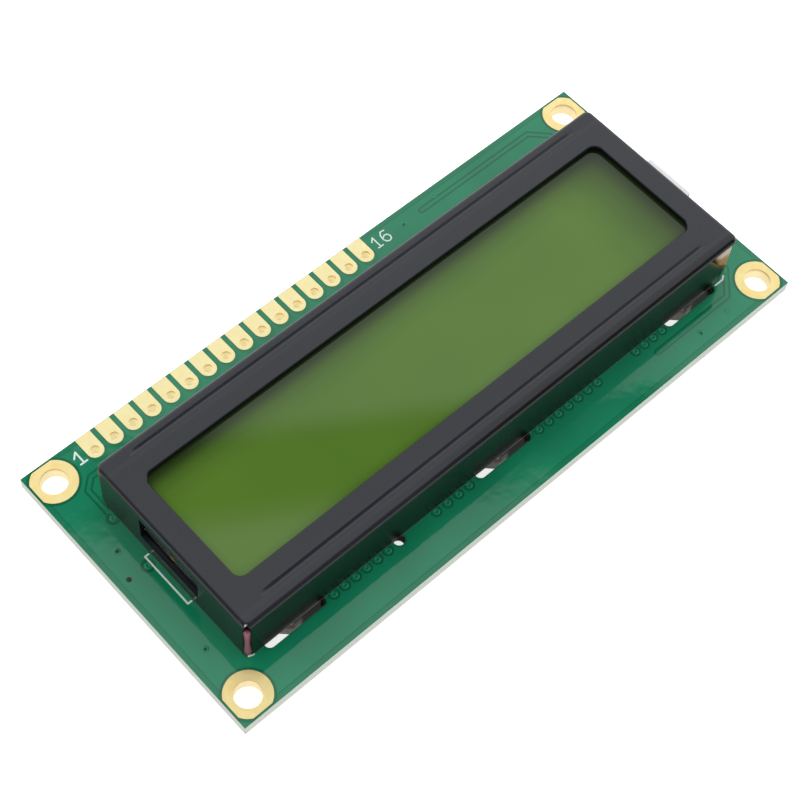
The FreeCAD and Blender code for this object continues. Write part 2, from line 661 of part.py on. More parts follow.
def build_optical_stack():
    """Everything that lies flat between the tray's floor and the bezel's window."""
    inner_length = f"({END_BLOCK_WEST}) - ({TRAY_WEST}) - tray_wall"
    inner_width = f"2 * ({TRAY_HALF_WIDTH} - tray_wall)"
    middle_x = f"({END_BLOCK_WEST} + {TRAY_WEST} + tray_wall) / 2"
    middle_y = "bezel_centre_y"
    guide = (f"{inner_length} - 2 * guide_clearance", f"{inner_width} - 2 * guide_clearance")
    glass_width = f"({inner_width} - 2 * rear_glass_clearance)"
    new_slab("reflector_film", guide[0], guide[1], "reflector_thickness", middle_x, middle_y, REFLECTOR_BASE)
    new_slab("light_guide", guide[0], guide[1], "guide_thickness", middle_x, middle_y, GUIDE_BASE)
    new_slab("diffuser_film", guide[0], guide[1], "diffuser_thickness", middle_x, middle_y, DIFFUSER_BASE)
    new_slab("rear_polariser", f"{guide[0]} - 2 * film_margin", f"{glass_width} - 2 * film_margin",
             "polariser_thickness", middle_x, middle_y, REAR_POLARISER_BASE)
    new_slab("rear_glass", guide[0], glass_width, "glass_thickness",
             middle_x, middle_y, REAR_GLASS_BASE)

    seal = new_body("cell_seal", z=CRYSTAL_BASE)
    outline = new_sketch(seal, "seal_outline")
    half_x = f"({guide[0]}) / 2"
    half_y = f"{glass_width} / 2"
    rectangle(outline, "outer", f"{middle_x} - {half_x}", f"{middle_x} + {half_x}",
              f"{middle_y} - {half_y}", f"{middle_y} + {half_y}")
    rectangle(outline, "inner", f"{middle_x} - {half_x} + seal_width", f"{middle_x} + {half_x} - seal_width",
              f"{middle_y} - {half_y} + seal_width", f"{middle_y} + {half_y} - seal_width")
    add_feature(seal, "Pad", outline, Length="cell_gap")
    new_slab("liquid_crystal", f"{guide[0]} - 2 * seal_width", f"{glass_width} - 2 * seal_width",
             "cell_gap", middle_x, middle_y, CRYSTAL_BASE)

    new_slab("front_glass", f"({CELL_EAST}) - ({CELL_WEST})",
             "bezel_width - 2 * (bezel_sheet + glass_side_gap)", "glass_thickness",
             CELL_MIDDLE_X, middle_y, FRONT_GLASS_BASE)
    new_slab("front_polariser", f"({WINDOW_EAST}) - ({WINDOW_WEST}) + 2 * front_polariser_margin",
             f"({WINDOW_NORTH}) - ({WINDOW_SOUTH}) + 2 * front_polariser_margin", "polariser_thickness",
             f"({WINDOW_EAST} + {WINDOW_WEST}) / 2",
             f"bezel_centre_y + ({WINDOW_NORTH} + {WINDOW_SOUTH}) / 2", FRONT_POLARISER_BASE)


def build_connector_strips():
    """Two rubber strips that carry the signals from the board up to the front glass's ledges."""
    for name, side in (("south", -1), ("north", 1)):
        outer = BEZEL_SOUTH if side < 0 else BEZEL_NORTH
        body = new_body(f"connector_strip_{name}", z=BOARD_TOP)
        outline = new_sketch(body, f"strip_{name}")
        near = f"{outer} - {side} * strip_wall_gap"
        far = f"{near} - {side} * strip_width"
        rectangle(outline, "edge", CELL_WEST, CELL_EAST, near, far)
        add_feature(body, "Pad", outline, Length=f"{FRONT_GLASS_BASE} - board_thickness")
        round_edges(body, f"strip_ends_{name}", lambda edge, box: is_upright(edge), "strip_edge_radius")


def build_back_side():
    """Two drive chips under low caps of epoxy, and the chip resistors beside them."""
    for name in ("controller", "driver"):
        dome = new_body(f"{name}_chip_dome", f"{name}_dome_x", "dome_y")
        half = new_sketch(dome, f"{name}_dome_half", "XZ_Plane")
        rim = f"{name}_dome_radius"
        polygon(half, "half", [("0", "0"),
                               (rim, "0"),
                               (f"{rim} - chip_dome_rim_slope", "-chip_dome_rim_height"),
                               (f"{rim} - chip_dome_crown_slope", "-chip_dome_height"),
                               ("0", "-chip_dome_height")])
        turned = add_feature(dome, "Revolution", half)
        turned.ReferenceAxis = (half, ["V_Axis"])
    row_y = "bezel_centre_y + bezel_width / 2 - resistor_row_setback"
    for index in range(int(SIZES["resistor_count"])):
        new_slab(f"divider_resistor_{index + 1}", "resistor_width", "resistor_length", "resistor_height",
                 f"resistor_first_x + {index} * resistor_pitch", row_y, "-resistor_height")
    new_slab("oscillator_resistor", "resistor_width", "resistor_length", "resistor_height",
             "oscillator_resistor_x", "oscillator_resistor_y", "-resistor_height")
    for index in range(2):
        new_slab(f"backlight_resistor_{index + 1}", "resistor_length", "resistor_width", "resistor_height",
                 f"{LEAD_X} - backlight_resistor_setback",
                 f"backlight_resistor_y - {index} * backlight_resistor_spacing", "-resistor_height")


build_circuit_board()
for pin in range(int(SIZES["pin_count"])):
    build_terminal_pad(pin)
build_mounting_pad("mounting_pad_south_west", -1, -1)
build_mounting_pad("mounting_pad_south_east", 1, -1)
build_mounting_pad("mounting_pad_north_west", -1, 1)
build_mounting_pad("mounting_pad_north_east", 1, 1)
build_bezel()
build_backlight_tray()
build_led_bar()
build_leads()
build_optical_stack()
build_connector_strips()
build_back_side()
doc.recompute()

for thing in doc.Objects:
    if "Invalid" in thing.State or "Error" in thing.State:
        raise RuntimeError(f"{thing.Label} could not be built: {thing.State}")
for thing in sub_parts:
    if thing.Shape.isNull() or not thing.Shape.isValid() or not thing.Shape.Solids:
        raise RuntimeError(f"{thing.Label} is not a sound solid")

os.makedirs("parts", exist_ok=True)
for thing in sub_parts:
    thing.Shape.exportStep(f"parts/{thing.Label}.step")
    box = thing.Shape.BoundBox
    spans = [round(span, 2) for span in (box.XMin, box.XMax, box.YMin, box.YMax, box.ZMin, box.ZMax)]
    print(thing.Label, len(thing.Shape.Solids), round(thing.Shape.Volume, 3), *spans)
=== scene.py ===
import math

import bmesh
import bpy
import numpy as np
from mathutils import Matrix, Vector
from mathutils.geometry import delaunay_2d_cdt


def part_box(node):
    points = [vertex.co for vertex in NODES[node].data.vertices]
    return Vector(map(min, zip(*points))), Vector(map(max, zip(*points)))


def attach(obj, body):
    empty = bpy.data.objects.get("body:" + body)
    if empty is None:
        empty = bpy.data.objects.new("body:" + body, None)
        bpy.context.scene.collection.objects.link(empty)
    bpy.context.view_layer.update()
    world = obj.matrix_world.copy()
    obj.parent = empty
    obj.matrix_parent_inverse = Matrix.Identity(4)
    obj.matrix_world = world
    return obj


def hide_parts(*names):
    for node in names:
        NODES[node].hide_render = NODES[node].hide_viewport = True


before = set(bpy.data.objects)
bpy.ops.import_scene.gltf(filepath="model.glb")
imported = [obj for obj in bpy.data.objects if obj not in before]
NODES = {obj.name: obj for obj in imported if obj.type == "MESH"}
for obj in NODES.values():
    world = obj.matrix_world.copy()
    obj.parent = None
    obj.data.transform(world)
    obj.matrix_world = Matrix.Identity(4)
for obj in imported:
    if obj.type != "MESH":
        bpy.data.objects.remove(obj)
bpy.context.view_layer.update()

# Character display module: finishes for its solids, and the films, print, solder and black shade sheet that they
# leave out.
# Sizes are in millimetres and MM turns them to metres. X runs along the board, Y towards the row of terminals,
# Z up through the display, and the middle of the board's back is at 0.
MM = 0.001

BOARD_TOP = 1.6
COPPER_RISE = 0.022  # copper foil and the mask over it, as they stand above the bare laminate
INK_RISE = 0.012  # printed ink on the mask
FOIL_TOP = BOARD_TOP + COPPER_RISE
PLATE_TOP = 8.8  # upper face of the bezel
FLOOR_LEVEL = -1.5  # ends of the bezel's tabs

# Terminals, slots for the tabs, and mounting holes, as the board has them.
TERMINALS = [-32 + 2.54 * k for k in range(16)]
TERMINAL_WIDTH = 1.93
SLOT_CENTRES = (-29.05, 0.1, 29.05)
SLOT_PITCH = 29.0
SLOT_ROWS = (-12.6, 10.9)
MOUNT_PLACES = [(x, y) for x in (-37.5, 37.5) for y in (-15.5, 15.5)]


def linear(code):
    """sRGB hex code to linear colour: below 0.04045 a straight line, above it a power of 2.4."""
    share = np.array([int(code[i:i + 2], 16) for i in (0, 2, 4)]) / 255.0
    tone = np.where(share <= 0.04045, share / 12.92, ((share + 0.055) / 1.055) ** 2.4)
    return (*[float(t) for t in tone], 1.0)


def grains(size_mm):
    """Scale of a pattern whose grains or squares are about size_mm across."""
    return 1.0 / (size_mm * MM)


def bands(spacing_mm):
    """Scale of a wave pattern, which repeats about every 1/3.14 of its unit, for bands spacing_mm apart."""
    return 1.0 / (spacing_mm * MM) / 3.14


def add(tree, kind, sockets=(), **settings):
    """Adds one shader node and returns its outputs. sockets gives its inputs, in order or by name, each a value
    or the output that feeds it. settings are the node's own properties."""
    made = tree.nodes.new("ShaderNode" + kind)
    for key, value in settings.items():
        setattr(made, key, value)
    for key, value in sockets.items() if isinstance(sockets, dict) else enumerate(sockets):
        if isinstance(value, bpy.types.NodeSocket):
            tree.links.new(value, made.inputs[key])
        else:
            made.inputs[key].default_value = value
    return made.outputs


def start_material(name):
    """A new material with an empty tree, and the Object coordinates that its patterns read."""
    material = bpy.data.materials.new(name)
    material.use_nodes = True
    tree = material.node_tree
    tree.nodes.clear()
    return material, tree, add(tree, "TexCoord")["Object"]


def end_material(material, tree, shader):
    """Links the finished shader to the material's output."""
    add(tree, "OutputMaterial", (shader,))
    return material


def mottled(name, first, second, grain_mm, sockets, contrast=(0.0, 1.0), shine=None, relief=None):
    """A finish that wanders between two tones in soft patches grain_mm across. sockets are the shader's own
    values. contrast is the part of the pattern that the tones are spread over. shine is the size of its duller
    patches and their least and most roughness. relief is the size and the depth of its bumps. Both sizes are in
    millimetres."""
    material, tree, place = start_material(name)
    patches = add(tree, "TexNoise", {"Vector": place, "Scale": grains(grain_mm), "Detail": 3.0})["Fac"]
    share = add(tree, "MapRange", (patches, *contrast, 0.0, 1.0))[0]
    tint = add(tree, "Mix", {0: share, 6: linear(first), 7: linear(second)}, data_type="RGBA")[2]
    sockets = {"Base Color": tint, **sockets}
    if shine:
        duller = add(tree, "TexNoise", {"Vector": place, "Scale": grains(shine[0]), "Detail": 3.0})["Fac"]
        sockets["Roughness"] = add(tree, "MapRange", (duller, 0.3, 0.7, *shine[1:]))[0]
    if relief:
        bumps = add(tree, "TexNoise", {"Vector": place, "Scale": grains(relief[0]), "Detail": 3.0})["Fac"]
        sockets["Normal"] = add(tree, "Bump", {"Height": bumps, "Distance": relief[1] * MM})[0]
    return end_material(material, tree, add(tree, "BsdfPrincipled", sockets)[0])


# Liquid green solder mask, screened on wet and cured, so that it flows out smooth and glossy. Slow clouds of tone
# come from its uneven thickness, and the glass cloth's weave shows through as very faint squares.
def solder_mask(name, light, dark):
    material, tree, place = start_material(name)
    cloud = add(tree, "TexNoise", {"Vector": place, "Scale": grains(9.0), "Detail": 2.0})["Fac"]
    share = add(tree, "MapRange", (cloud, 0.35, 0.65, 0.0, 1.0))[0]
    colour = add(tree, "Mix", {0: share, 6: linear(dark), 7: linear(light)}, data_type="RGBA")[2]
    # Glass cloth has about 17 threads per centimetre, 0.6 mm apart.
    weave = add(tree, "TexChecker", {"Vector": place, "Scale": grains(0.6)})["Fac"]
    flow = add(tree, "TexNoise", {"Vector": place, "Scale": grains(2.4), "Detail": 2.0})["Fac"]
    faint = add(tree, "Math", (weave, 0.03), operation="MULTIPLY")[0]
    relief = add(tree, "Math", (faint, flow), operation="ADD")[0]
    patches = add(tree, "TexNoise", {"Vector": place, "Scale": grains(4.0), "Detail": 3.0})["Fac"]
    shine = add(tree, "MapRange", (patches, 0.3, 0.7, 0.03, 0.06))[0]
    smooth = add(tree, "Bump", {"Height": relief, "Distance": 0.01 * MM})[0]
    shader = add(tree, "BsdfPrincipled", {"Base Color": colour, "Roughness": shine, "IOR": 1.55, "Normal": smooth})
    return material, tree, place, shader[0]


# Solder mask on the board's faces, and glass-fibre laminate where the router cut it: a matt grey-green edge with
# the cloth's layers as fine lines.
def board_material():
    material, tree, place, mask = solder_mask("solder_mask_on_laminate", "16855F", "127C57")
    x, y, _ = add(tree, "SeparateXYZ", (place,))
    layers = add(tree, "TexWave", {"Vector": place, "Scale": bands(0.2), "Distortion": 1.5, "Detail": 2.0,
                                   "Detail Scale": 2.0}, bands_direction="Z")["Fac"]
    fibres = add(tree, "TexNoise", {"Vector": place, "Scale": grains(0.25), "Detail": 4.0})["Fac"]
    share = add(tree, "Math", (layers, fibres), operation="MULTIPLY")[0]
    cut_tone = add(tree, "Mix", {0: share, 6: linear("EFF3EA"), 7: linear("B4C1B4")}, data_type="RGBA")[2]
    # Inside the milled slots, two rows either side of the bezel's middle line, the cut faces are coloured a dark
    # grey-brown.
    off_middle = add(tree, "Math", (y, 0.85 * MM), operation="ADD")[0]
    off_middle = add(tree, "Math", (off_middle,), operation="ABSOLUTE")[0]
    past_inner = add(tree, "MapRange", (off_middle, 10.2 * MM, 10.4 * MM, 0.0, 1.0))[0]
    short_of_outer = add(tree, "MapRange", (off_middle, 13.6 * MM, 13.8 * MM, 1.0, 0.0))[0]
    in_rows = add(tree, "Math", (past_inner, short_of_outer), operation="MULTIPLY")[0]
    along = add(tree, "Math", (x,), operation="ABSOLUTE")[0]
    short_of_ends = add(tree, "MapRange", (along, 33.6 * MM, 33.8 * MM, 1.0, 0.0))[0]
    slot_faces_darker = add(tree, "Math", (in_rows, short_of_ends), operation="MULTIPLY")[0]
    cut_tone = add(tree, "Mix", {0: slot_faces_darker, 6: cut_tone, 7: linear("4A4A3C")}, data_type="RGBA")[2]
    rough = add(tree, "Bump", {"Height": fibres, "Distance": 0.03 * MM})[0]
    cut = add(tree, "BsdfPrincipled", {"Base Color": cut_tone, "Roughness": 0.75, "Normal": rough})[0]
    facing = add(tree, "SeparateXYZ", (add(tree, "NewGeometry")["True Normal"],))["Z"]
    upright = add(tree, "Math", (facing,), operation="ABSOLUTE")[0]
    on_face = add(tree, "Math", (upright, 0.5), operation="GREATER_THAN")[0]
    return end_material(material, tree, add(tree, "MixShader", (on_face, cut, mask))[0])


# The mask over copper: the metal under it lets less light through, so it is a clearer green.
def copper_mask_material():
    material, tree, _, mask = solder_mask("solder_mask_on_copper", "1A8E66", "16855F")
    return end_material(material, tree, mask)


# The mask where it has run down thick beside a copper edge, as a darker line.
def thick_mask_material():
    material, tree, _, mask = solder_mask("solder_mask_pooled_by_copper", "107050", "0D6648")
    return end_material(material, tree, mask)


# Immersion gold on nickel: a thin plated layer on etched copper, soft-matt, pale yellow, with a fine grain. The
# etched copper under it scatters most of the light, so only a part of it mirrors.
def gold_material():
    material, tree, place = start_material("immersion_gold")
    x, y, z = add(tree, "SeparateXYZ", (place,))
    patches = add(tree, "TexNoise", {"Vector": place, "Scale": grains(0.9), "Detail": 3.0})["Fac"]
    share = add(tree, "MapRange", (patches, 0.3, 0.7, 0.0, 1.0))[0]
    tint = add(tree, "Mix", {0: share, 6: linear("FFE494"), 7: linear("FFEFAE")}, data_type="RGBA")[2]
    # The terminals are paler than the rings of the mounting holes.
    in_row = add(tree, "MapRange", (y, 14.2 * MM, 14.6 * MM, 0.0, 0.42))[0]
    along = add(tree, "Math", (x,), operation="ABSOLUTE")[0]
    short_of_rings = add(tree, "MapRange", (along, 33.4 * MM, 33.8 * MM, 1.0, 0.0))[0]
    terminals = add(tree, "Math", (in_row, short_of_rings), operation="MULTIPLY")[0]
    # Inside a plated hole the light bounces to and fro and leaves it pale, except just under the brown rim.
    facing = add(tree, "SeparateXYZ", (add(tree, "NewGeometry")["True Normal"],))["Z"]
    upright = add(tree, "Math", (facing,), operation="ABSOLUTE")[0]
    inside = add(tree, "MapRange", (upright, 0.3, 0.6, 1.0, 0.0))[0]
    bounced = add(tree, "Math", (inside, 0.6), operation="MULTIPLY")[0]
    near_rim = add(tree, "MapRange", (z, 1.2 * MM, 1.5 * MM, 0.0, 1.0))[0]
    rim = add(tree, "Math", (inside, near_rim), operation="MULTIPLY")[0]
    for share, tone in ((terminals, "FFFFD0"), (bounced, "FFFAEE"), (rim, "E3BE88")):
        tint = add(tree, "Mix", {0: share, 6: tint, 7: linear(tone)}, data_type="RGBA")[2]
    # Painted light: the gold glows, most deep inside each hole, and every gold face a little, at 0.07.
    by_depth = add(tree, "MapRange", (z, 1.1 * MM, 1.5 * MM, 0.2, 0.04))[0]
    deep = add(tree, "Math", (inside, by_depth), operation="MULTIPLY")[0]
    glow = add(tree, "Math", (deep, 0.07), operation="ADD")[0]
    duller = add(tree, "TexNoise", {"Vector": place, "Scale": grains(0.35), "Detail": 3.0})["Fac"]
    shine = add(tree, "MapRange", (duller, 0.3, 0.7, 0.28, 0.42))[0]
    grain = add(tree, "TexNoise", {"Vector": place, "Scale": grains(0.12), "Detail": 3.0})["Fac"]
    etched = add(tree, "Bump", {"Height": grain, "Distance": 0.006 * MM})[0]
    shader = add(tree, "BsdfPrincipled", {"Base Color": tint, "Metallic": 0.7, "Roughness": shine,
                                          "Emission Color": linear("FFE9B0"), "Emission Strength": glow,
                                          "Normal": etched})
    return end_material(material, tree, shader[0])


# Cold-rolled steel sheet with a black electrophoretic lacquer: satin, slightly blue, with a very fine grain. Its
# cut edges are rounded by the lacquer. Some light and shade are painted into its colour: a highlight and shade on
# the plate, darker walls, and a reflection at the walls' feet, where the lacquer is also thin and lighter along
# the cut.
def bezel_material():
    material, tree, place = start_material("black_lacquered_steel")
    x, y, z = add(tree, "SeparateXYZ", (place,))
    grain = add(tree, "TexNoise", {"Vector": place, "Scale": grains(0.2), "Detail": 2.0})["Fac"]
    cloud = add(tree, "TexNoise", {"Vector": place, "Scale": grains(7.0), "Detail": 2.0})["Fac"]
    fine_share = add(tree, "MapRange", (grain, 0.3, 0.7, 0.0, 1.0))[0]
    cloud_share = add(tree, "MapRange", (cloud, 0.3, 0.7, 0.0, 0.3))[0]
    black = add(tree, "Mix", {0: fine_share, 6: linear("20232A"), 7: linear("252830")}, data_type="RGBA")[2]
    black = add(tree, "Mix", {0: cloud_share, 6: black, 7: linear("2A2D35")}, data_type="RGBA")[2]
    # Painted light on the plate: a painted highlight just south of each rib, and painted shade along the
    # south-east rim.
    for centre, spread in ((-11.35, 0.42), (8.95, 0.5)):
        off = add(tree, "Math", (y, centre * MM), operation="SUBTRACT")[0]
        off = add(tree, "Math", (off,), operation="ABSOLUTE")[0]
        rib_shoulder_highlight = add(tree, "MapRange", (off, 0.0, spread * MM, 0.45, 0.0), interpolation_type="SMOOTHSTEP")[0]
        black = add(tree, "Mix", {0: rib_shoulder_highlight, 6: black, 7: linear("30333B")}, data_type="RGBA")[2]
    southward = add(tree, "MapRange", (y, -11.9 * MM, -11.3 * MM, 1.0, 0.0), interpolation_type="SMOOTHSTEP")[0]
    eastward = add(tree, "MapRange", (x, -18.0 * MM, 4.0 * MM, 0.0, 0.75), interpolation_type="SMOOTHSTEP")[0]
    south_east_shade = add(tree, "Math", (southward, eastward), operation="MULTIPLY")[0]
    black = add(tree, "Mix", {0: south_east_shade, 6: black, 7: linear("08090B")}, data_type="RGBA")[2]
    # The walls are painted darker than the plate, as painted shade.
    facing = add(tree, "SeparateXYZ", (add(tree, "NewGeometry")["True Normal"],))["Z"]
    upward = add(tree, "MapRange", (facing, 0.1, 0.8, 0.0, 1.0))[0]
    black = add(tree, "Mix", {0: upward, 6: linear("121314"), 7: black}, data_type="RGBA")[2]
    # Near the foot the wall is painted brownish, a painted reflection, and along the cut at the very foot it is
    # paler, where the lacquer is thin and a painted reflection adds to it. Behind the board, where the tabs bend,
    # a pale patch shows bare steel on the cut edges with a painted highlight on it.
    brown = add(tree, "MapRange", (z, 1.75 * MM, 2.5 * MM, 0.55, 0.0))[0]
    under_brown_band = add(tree, "MapRange", (z, 1.64 * MM, 1.76 * MM, 0.85, 0.0))[0]
    above_slot = add(tree, "MapRange", (z, 1.5 * MM, 1.6 * MM, 0.0, 1.0))[0]
    foot = add(tree, "Math", (under_brown_band, above_slot), operation="MULTIPLY")[0]
    # The pale patch at the tabs' bend: bare steel with a painted highlight.
    half_pitch = SLOT_PITCH / 2 * MM
    from_slot = add(tree, "Math", (x, half_pitch, -half_pitch), operation="WRAP")[0]
    short_of_east = add(tree, "MapRange", (from_slot, 0.7 * MM, 1.2 * MM, 1.0, 0.0))[0]
    past_west = add(tree, "MapRange", (from_slot, -1.6 * MM, -0.9 * MM, 0.25, 1.0))[0]
    at_bend = add(tree, "Math", (short_of_east, past_west), operation="MULTIPLY")[0]
    in_slot = add(tree, "MapRange", (z, 0.7 * MM, 1.25 * MM, 0.95, 0.0))[0]
    bare_edge_and_highlight = add(tree, "Math", (at_bend, in_slot), operation="MULTIPLY")[0]
    uneven = add(tree, "MapRange", (cloud, 0.2, 0.8, 0.75, 1.0))[0]
    bare_edge_and_highlight = add(tree, "Math", (bare_edge_and_highlight, uneven), operation="MULTIPLY")[0]
    # Three pale specks at the western corners: painted glints, on bare steel where the lacquer is worn.
    wear_and_glints = 0.0
    for spot in ((-34.85, -12.2, 8.6), (-35.0, 10.75, 8.5), (-34.75, 10.85, 8.7)):
        centred = add(tree, "Mapping", {"Vector": place, "Location": tuple(-c * MM for c in spot)})[0]
        reach = add(tree, "VectorMath", (centred,), operation="LENGTH")["Value"]
        speck = add(tree, "MapRange", (reach, 0.08 * MM, 0.2 * MM, 1.0, 0.0))[0]
        wear_and_glints = add(tree, "Math", (wear_and_glints, speck), operation="MAXIMUM")[0]
    colour = black
    for share, tone in ((brown, "2C2420"), (foot, "7D8C86"), (bare_edge_and_highlight, "DCD0C8"), (wear_and_glints, "D5D9D6")):
        colour = add(tree, "Mix", {0: share, 6: colour, 7: linear(tone)}, data_type="RGBA")[2]
    duller = add(tree, "TexNoise", {"Vector": place, "Scale": grains(0.5), "Detail": 3.0})["Fac"]
    shine = add(tree, "MapRange", (duller, 0.3, 0.7, 0.23, 0.27))[0]
    # The lacquer is thinner and duller over the turn of each fold, and dull down in the slots.
    off_wall = add(tree, "MapRange", (facing, 0.02, 0.12, 0.0, 1.0))[0]
    off_plate = add(tree, "MapRange", (facing, 0.45, 0.6, 1.0, 0.0))[0]
    turning = add(tree, "Math", (off_wall, off_plate), operation="MULTIPLY")[0]
    gloss_by_height = add(tree, "MapRange", (z, 1.5 * MM, 1.65 * MM, 0.06, 0.5))[0]
    gloss_by_face = add(tree, "MapRange", (upward, 0.0, 1.0, 0.85, 1.0))[0]
    gloss_by_turn = add(tree, "MapRange", (turning, 0.0, 1.0, 1.0, 0.6))[0]
    gloss = add(tree, "Math", (gloss_by_height, gloss_by_face), operation="MULTIPLY")[0]
    gloss = add(tree, "Math", (gloss, gloss_by_turn), operation="MULTIPLY")[0]
    edge = add(tree, "Bevel", {"Radius": 0.06 * MM}, samples=4)["Normal"]
    # Beside the ribs the plate runs on flat, and the walls are plain, so no edges are rounded there.
    unrounded = []
    for centre in (-10.45, 9.85):
        off = add(tree, "Math", (y, centre * MM), operation="SUBTRACT")[0]
        off = add(tree, "Math", (off,), operation="ABSOLUTE")[0]
        unrounded.append(add(tree, "MapRange", (off, 0.6 * MM, 0.7 * MM, 1.0, 0.0))[0])
    unrounded.append(add(tree, "MapRange", (z, 7.7 * MM, 7.9 * MM, 1.0, 0.0))[0])
    for share in unrounded:
        as_built = add(tree, "NewGeometry")["Normal"]
        edge = add(tree, "Mix", {0: share, 6: edge, 7: as_built}, data_type="RGBA")[2]
    on_plate = add(tree, "MapRange", (facing, 0.8, 0.95, 0.0, 1.0))[0]
    fine = add(tree, "Math", (grain, on_plate), operation="MULTIPLY")[0]
    grained = add(tree, "Bump", {"Height": fine, "Distance": 0.0015 * MM, "Normal": edge})[0]
    shader = add(tree, "BsdfPrincipled", {"Base Color": colour, "Roughness": shine, "IOR": 1.56,
                                          "Normal": grained, "Specular IOR Level": gloss})
    return end_material(material, tree, shader[0])


# Reflective polariser film on glass: yellow-green and glossy. Daylight reaches the diffuser 3 mm below it at a
# slant, so the frame's shadow darkens the green along the north and east sides. Each side's shadow is a list of
# distances from it in millimetres and the light there.
def polariser_material():
    material, tree, place = start_material("green_polariser_film")
    x, y, _ = add(tree, "SeparateXYZ", (place,))
    from_north = add(tree, "Math", (6.83 * MM, y), operation="SUBTRACT")[0]
    from_east = add(tree, "Math", (32.46 * MM, x), operation="SUBTRACT")[0]
    from_south = add(tree, "Math", (y, 8.13 * MM), operation="ADD")[0]
    lit = 1.0
    for distance, shadow in (
            (from_north, [(0.0, 0.12), (0.7, 0.22), (1.8, 0.66), (3.0, 0.88), (4.8, 1.0)]),
            (from_east, [(0.0, 0.10), (0.7, 0.16), (2.5, 0.5), (6.5, 0.88), (10.0, 1.0)]),
            (from_south, [(0.0, 0.86), (0.7, 0.96), (1.2, 1.0)])):
        full_light = shadow[-1][0]
        share = add(tree, "MapRange", (distance, 0.0, full_light * MM, 0.0, 1.0))[0]
        light = add(tree, "ValToRGB", (share,))[0]
        band = light.node.color_ramp
        while len(band.elements) < len(shadow):
            band.elements.new(1.0)
        for element, (off, _) in zip(band.elements, shadow):
            element.position = off / full_light
        for element, (_, level) in zip(band.elements, shadow):
            element.color = (level, level, level, 1.0)
        lit = add(tree, "Math", (lit, light), operation="MULTIPLY")[0]
    cloud = add(tree, "TexNoise", {"Vector": place, "Scale": grains(14.0), "Detail": 1.0})["Fac"]
    share = add(tree, "MapRange", (cloud, 0.3, 0.7, 0.0, 1.0))[0]
    green = add(tree, "Mix", {0: share, 6: linear("507528"), 7: linear("587D2B")}, data_type="RGBA")[2]
    dots = add(tree, "TexNoise", {"Vector": place, "Scale": grains(0.25), "Detail": 2.0})["Fac"]
    share = add(tree, "MapRange", (dots, 0.2, 0.8, 0.0, 0.06))[0]
    green = add(tree, "Mix", {0: share, 6: green, 7: linear("6B8A3A")}, data_type="RGBA")[2]
    colour = add(tree, "Mix", {0: lit, 6: linear("10150E"), 7: green}, data_type="RGBA")[2]
    swell = add(tree, "TexNoise", {"Vector": place, "Scale": grains(12.0), "Detail": 1.0})["Fac"]
    level = add(tree, "Bump", {"Height": swell, "Distance": 0.01 * MM})[0]
    shader = add(tree, "BsdfPrincipled", {"Base Color": colour, "Roughness": 0.03, "IOR": 1.49, "Normal": level})
    return end_material(material, tree, shader[0])


# Moulded acrylic light guide: clear, with a printed dot pattern that shows as fine white grains.
def guide_material():
    material, tree, place = start_material("moulded_acrylic")
    dots = add(tree, "TexVoronoi", {"Vector": place, "Scale": grains(0.8)})["Distance"]
    share = add(tree, "MapRange", (dots, 0.15, 0.3, 0.0, 1.0))[0]
    tint = add(tree, "Mix", {0: share, 6: linear("F4F6F4"), 7: linear("DCE6E2")}, data_type="RGBA")[2]
    shader = add(tree, "BsdfPrincipled", {"Base Color": tint, "Roughness": 0.12, "IOR": 1.49,
                                          "Transmission Weight": 0.7})
    return end_material(material, tree, shader[0])


# Cream polycarbonate moulding with white filler. At its south-east end a warm amber is painted in, as painted
# shade.
def tray_material():
    material, tree, place = start_material("moulded_polycarbonate")
    patches = add(tree, "TexNoise", {"Vector": place, "Scale": grains(1.2), "Detail": 3.0})["Fac"]
    share = add(tree, "MapRange", (patches, 0.3, 0.7, 0.0, 1.0))[0]
    tint = add(tree, "Mix", {0: share, 6: linear("D8C9BA"), 7: linear("CDBDAE")}, data_type="RGBA")[2]
    centred = add(tree, "Mapping", {"Vector": place, "Location": (-33.4 * MM, 12.5 * MM, -5.2 * MM)})[0]
    reach = add(tree, "VectorMath", (centred,), operation="LENGTH")["Value"]
    warm_shade = add(tree, "MapRange", (reach, 1.1 * MM, 2.0 * MM, 0.95, 0.0), interpolation_type="SMOOTHSTEP")[0]
    colour = add(tree, "Mix", {0: warm_shade, 6: tint, 7: linear("9A7030")}, data_type="RGBA")[2]
    bumps = add(tree, "TexNoise", {"Vector": place, "Scale": grains(0.3), "Detail": 3.0})["Fac"]
    moulded = add(tree, "Bump", {"Height": bumps, "Distance": 0.01 * MM})[0]
    shader = add(tree, "BsdfPrincipled", {"Base Color": colour, "Roughness": 0.42, "Subsurface Weight": 0.15,
                                          "Subsurface Radius": (1.0 * MM, 0.8 * MM, 0.6 * MM), "Normal": moulded})
    return end_material(material, tree, shader[0])


# Pink silicone rubber with carbon-filled conducting layers: soft-glossy, with darker bands.
def rubber_material():
    material, tree, place = start_material("layered_silicone_rubber")
    layers = add(tree, "TexWave", {"Vector": place, "Scale": bands(0.5), "Distortion": 0.4},
                 bands_direction="X")["Fac"]
    share = add(tree, "Math", (layers, 0.35), operation="MULTIPLY")[0]
    tint = add(tree, "Mix", {0: share, 6: linear("9A6274"), 7: linear("5E2B3D")}, data_type="RGBA")[2]
    bumps = add(tree, "TexNoise", {"Vector": place, "Scale": grains(0.5), "Detail": 3.0})["Fac"]
    sliced = add(tree, "Bump", {"Height": bumps, "Distance": 0.02 * MM})[0]
    shader = add(tree, "BsdfPrincipled", {"Base Color": tint, "Roughness": 0.25, "IOR": 1.43,
                                          "Subsurface Weight": 0.1,
                                          "Subsurface Radius": (0.6 * MM, 0.3 * MM, 0.3 * MM), "Normal": sliced})
    return end_material(material, tree, shader[0])


